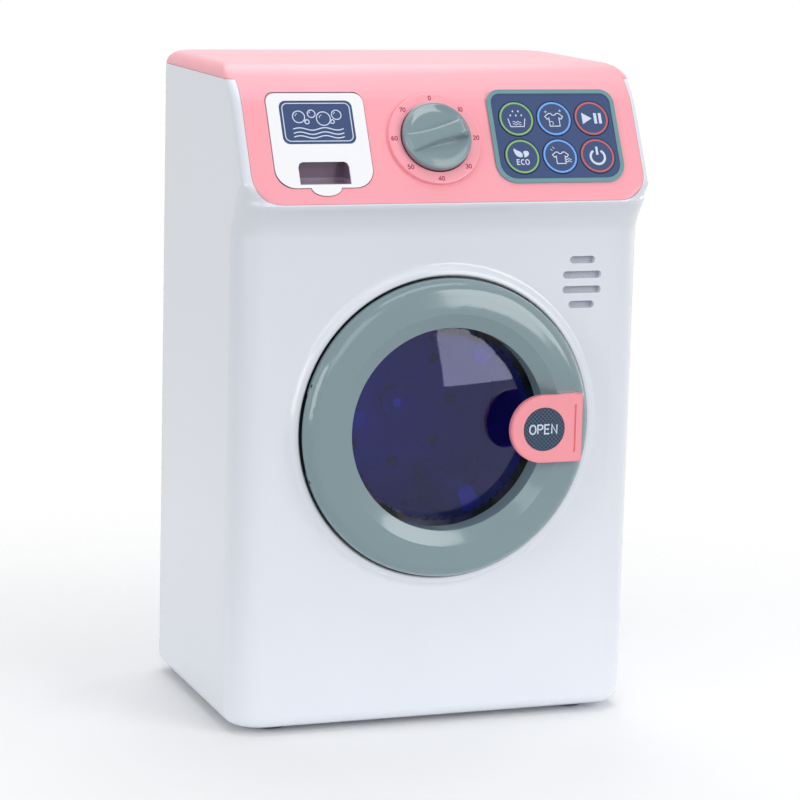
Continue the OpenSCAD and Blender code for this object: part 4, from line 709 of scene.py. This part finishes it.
# %% Spin the dish and loft the grip bar
DISH = [(0, 3.5), (4, 3.55), (8, 3.8), (10.4, 4.05), (12.0, 4.35), (12.8, 4.75), (13.3, 4.95), (13.8, 5.0),
        (14.15, 4.8), (14.38, 4.4), (14.45, 3.9), (14.45, 2.6), (14.25, 2.25), (14.0, 2.2), (4.0, 2.2),
        (4.0, -2.7), (1.25, -2.7), (1.25, 3.0), (0, 3.0)]
SPIN_STEPS = 96
knob_frame = panel_frame @ Matrix.Translation((KNOB_U * MM, KNOB_V * MM, 0))


def spun(section, steps=SPIN_STEPS):
    """A turned form from a half section of (radius, height) points."""
    bm = bmesh.new()
    points = [bm.verts.new((r * MM, 0, h * MM)) for r, h in section]
    edges = [bm.edges.new((points[i], points[i + 1])) for i in range(len(points) - 1)]
    bmesh.ops.spin(bm, geom=points + edges, cent=(0, 0, 0), axis=(0, 0, 1), angle=math.tau, steps=steps, use_merge=True)
    bmesh.ops.remove_doubles(bm, verts=bm.verts, dist=0.000001)
    return bm


def grip_section(t):
    """Half width, foot and top of the grip bar at t from 0 (left) to 1 (right)."""
    flare = (1 - 2 * t) ** 2 * (1.5 if t < 0.5 else 0.8)
    return 3.0 + flare, 3.0, 5.1 + 4.5 * t ** 0.9


def grip_ring(x, half, foot, top):
    """One rounded cross section of the bar, across its length."""
    r = min(half, 1.5)
    outline = [(-half - 0.5, foot)]
    for k in range(7):
        a = math.radians(180 - 15 * k)
        outline.append((-half + r + r * math.cos(a), top - r + r * math.sin(a)))
    for k in range(7):
        a = math.radians(90 - 15 * k)
        outline.append((half - r + r * math.cos(a), top - r + r * math.sin(a)))
    outline.append((half + 0.5, foot))
    return [(x, y, z) for y, z in outline]


bm = spun(DISH)
bm.transform(knob_frame)
LEFT_END, RIGHT_END = -13.4, 13.2
END_SLOPE = 4.2
GRIP_TURN = math.radians(14)
grip_frame = knob_frame @ Matrix.Rotation(GRIP_TURN, 4, "Z")
loops, ends = [], []
SECTIONS = 40
for i in range(SECTIONS + 1):
    t = i / SECTIONS
    half, foot, top = grip_section(t)
    near_end = min(t, 1 - t) * (RIGHT_END - LEFT_END)
    round_off = math.sqrt(max(0, 1 - (1 - min(1, near_end / 1.3)) ** 2))
    half = half * (0.80 + 0.20 * round_off)
    slope = max(0, 1 - (1 - t) * (RIGHT_END - LEFT_END) / END_SLOPE)
    top = top - 4.0 * slope ** 1.3 - (0.8 * (1 - round_off) if t < 0.5 else 0)
    ring = grip_ring(LEFT_END + (RIGHT_END - LEFT_END) * t, half, foot, top)
    verts = [bm.verts.new(grip_frame @ Vector((x * MM, y * MM, z * MM))) for x, y, z in ring]
    loops.append([bm.edges.new(pair) for pair in zip(verts, verts[1:] + verts[:1])])
    ends.append(verts)
for here, following in zip(loops, loops[1:]):
    bmesh.ops.bridge_loops(bm, edges=here + following)
bm.faces.new(ends[0])
bm.faces.new(ends[-1])
knob = make_piece("knob_moulding", bm, "knob", [finish["teal_plastic"]])
for face in knob.data.polygons:
    face.use_smooth = True
crease = knob.modifiers.new("crease", "EDGE_SPLIT")
crease.split_angle = math.radians(40)
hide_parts("knob")

# %% [markdown]
# ## Studio
# The toy stands on a plain pale floor in front of white. Large soft lights and a bright
# room show the gloss without harsh spots. The floor keeps the shadow under the feet.
# The white beyond the floor is seen by the camera, and in every glossy or clear surface.

# %% Floor, lights and backdrop
scene = bpy.context.scene
FADE_FROM, FADE_TO = 0.12, 0.42
bm = bmesh.new()
bmesh.ops.create_grid(bm, x_segments=2, y_segments=2, size=6.0)
floor_mesh = bpy.data.meshes.new("floor")
bm.to_mesh(floor_mesh)
bm.free()
floor = bpy.data.objects.new("floor", floor_mesh)
scene.collection.objects.link(floor)
floor_mat = bpy.data.materials.new("floor")
floor_mat.use_nodes = True
tree = floor_mat.node_tree
paper = tree.nodes["Principled BSDF"]
paper.inputs["Base Color"].default_value = (0.97, 0.97, 0.975, 1)
paper.inputs["Roughness"].default_value = 0.9
place = tree.nodes.new("ShaderNodeTexCoord")
reach = tree.nodes.new("ShaderNodeVectorMath")
reach.operation = "LENGTH"
tree.links.new(place.outputs["Object"], reach.inputs[0])
fade = tree.nodes.new("ShaderNodeMapRange")
fade.interpolation_type = "SMOOTHSTEP"
fade.inputs["From Min"].default_value = FADE_FROM
fade.inputs["From Max"].default_value = FADE_TO
fade.inputs["To Min"].default_value = 1.0
fade.inputs["To Max"].default_value = 0.0
tree.links.new(reach.outputs["Value"], fade.inputs["Value"])
side = tree.nodes.new("ShaderNodeNewGeometry")
above = tree.nodes.new("ShaderNodeMath")
above.operation = "SUBTRACT"
above.inputs[0].default_value = 1.0
tree.links.new(side.outputs["Backfacing"], above.inputs[1])
kept = tree.nodes.new("ShaderNodeMath")
kept.operation = "MULTIPLY"
tree.links.new(fade.outputs["Result"], kept.inputs[0])
tree.links.new(above.outputs["Value"], kept.inputs[1])
tree.links.new(kept.outputs["Value"], paper.inputs["Alpha"])
floor_mesh.materials.append(floor_mat)


def soft_light(name, place, aim, size, power):
    """A square soft box at a place, turned to face a point."""
    data = bpy.data.lights.new(name, "AREA")
    data.shape = "SQUARE"
    data.size = size
    data.energy = power
    lamp = bpy.data.objects.new(name, data)
    lamp.location = place
    lamp.rotation_euler = (Vector(aim) - Vector(place)).to_track_quat("-Z", "Y").to_euler()
    scene.collection.objects.link(lamp)
    return lamp


MIDDLE = (0, 0, 0.135)
soft_light("key light", (-0.9, -1.8, 1.2), MIDDLE, 1.1, 5)
soft_light("left panel", (-1.6, -0.6, 0.5), MIDDLE, 0.9, 8)
soft_light("right panel", (1.12, -1.6, 0.76), MIDDLE, 1.2, 16.5)
soft_light("top light", (0.1, 0.0, 1.9), MIDDLE, 1.5, 12)
soft_light("back light", (0.3, 1.4, 1.6), MIDDLE, 1.0, 7)
soft_light("rim light", (1.7, 0.9, 0.5), MIDDLE, 1.0, 8)

world = bpy.data.worlds.new("studio")
scene.world = world
world.use_nodes = True
tree = world.node_tree
tree.nodes.clear()
out = tree.nodes.new("ShaderNodeOutputWorld")
room = tree.nodes.new("ShaderNodeBackground")
room.inputs["Color"].default_value = (0.95, 0.97, 1.0, 1)
room.inputs["Strength"].default_value = 0.33
white = tree.nodes.new("ShaderNodeBackground")
white.inputs["Color"].default_value = (1, 1, 1, 1)
white.inputs["Strength"].default_value = 1.0
ray = tree.nodes.new("ShaderNodeLightPath")
mirrored = tree.nodes.new("ShaderNodeMath")
mirrored.operation = "MAXIMUM"
tree.links.new(ray.outputs["Is Glossy Ray"], mirrored.inputs[0])
tree.links.new(ray.outputs["Is Transmission Ray"], mirrored.inputs[1])
seen = tree.nodes.new("ShaderNodeMath")
seen.operation = "MAXIMUM"
tree.links.new(ray.outputs["Is Camera Ray"], seen.inputs[0])
tree.links.new(mirrored.outputs["Value"], seen.inputs[1])
pick = tree.nodes.new("ShaderNodeMixShader")
tree.links.new(seen.outputs["Value"], pick.inputs["Fac"])
tree.links.new(room.outputs["Background"], pick.inputs[1])
tree.links.new(white.outputs["Background"], pick.inputs[2])
tree.links.new(pick.outputs["Shader"], out.inputs["Surface"])
scene.view_settings.view_transform = "Standard"
print("studio ready")

# %% [markdown]
# ## Camera
# The picture was taken with a long lens, a little above the toy and to its left.
# A long lens keeps the upright edges nearly parallel, as a catalogue picture wants them.

# %% Camera at the angle of the picture
TURN = math.radians(-20.079)
RISE = math.radians(10.207)
ROLL = math.radians(1.468)
back = Vector((math.sin(TURN) * math.cos(RISE), -math.cos(TURN) * math.cos(RISE), math.sin(RISE)))
right = Vector((math.cos(TURN), math.sin(TURN), 0))
up = back.cross(right)
right, up = (right * math.cos(ROLL) + up * math.sin(ROLL), up * math.cos(ROLL) - right * math.sin(ROLL))
lens_data = bpy.data.cameras.new("camera")
lens_data.sensor_width = 36
lens_data.lens = 136.85
camera = bpy.data.objects.new("camera", lens_data)
turned = Matrix((right, up, back)).transposed().to_4x4()
turned.translation = Vector((-0.43308, -1.18481, 0.35427))
camera.matrix_world = turned
scene.collection.objects.link(camera)
scene.camera = camera
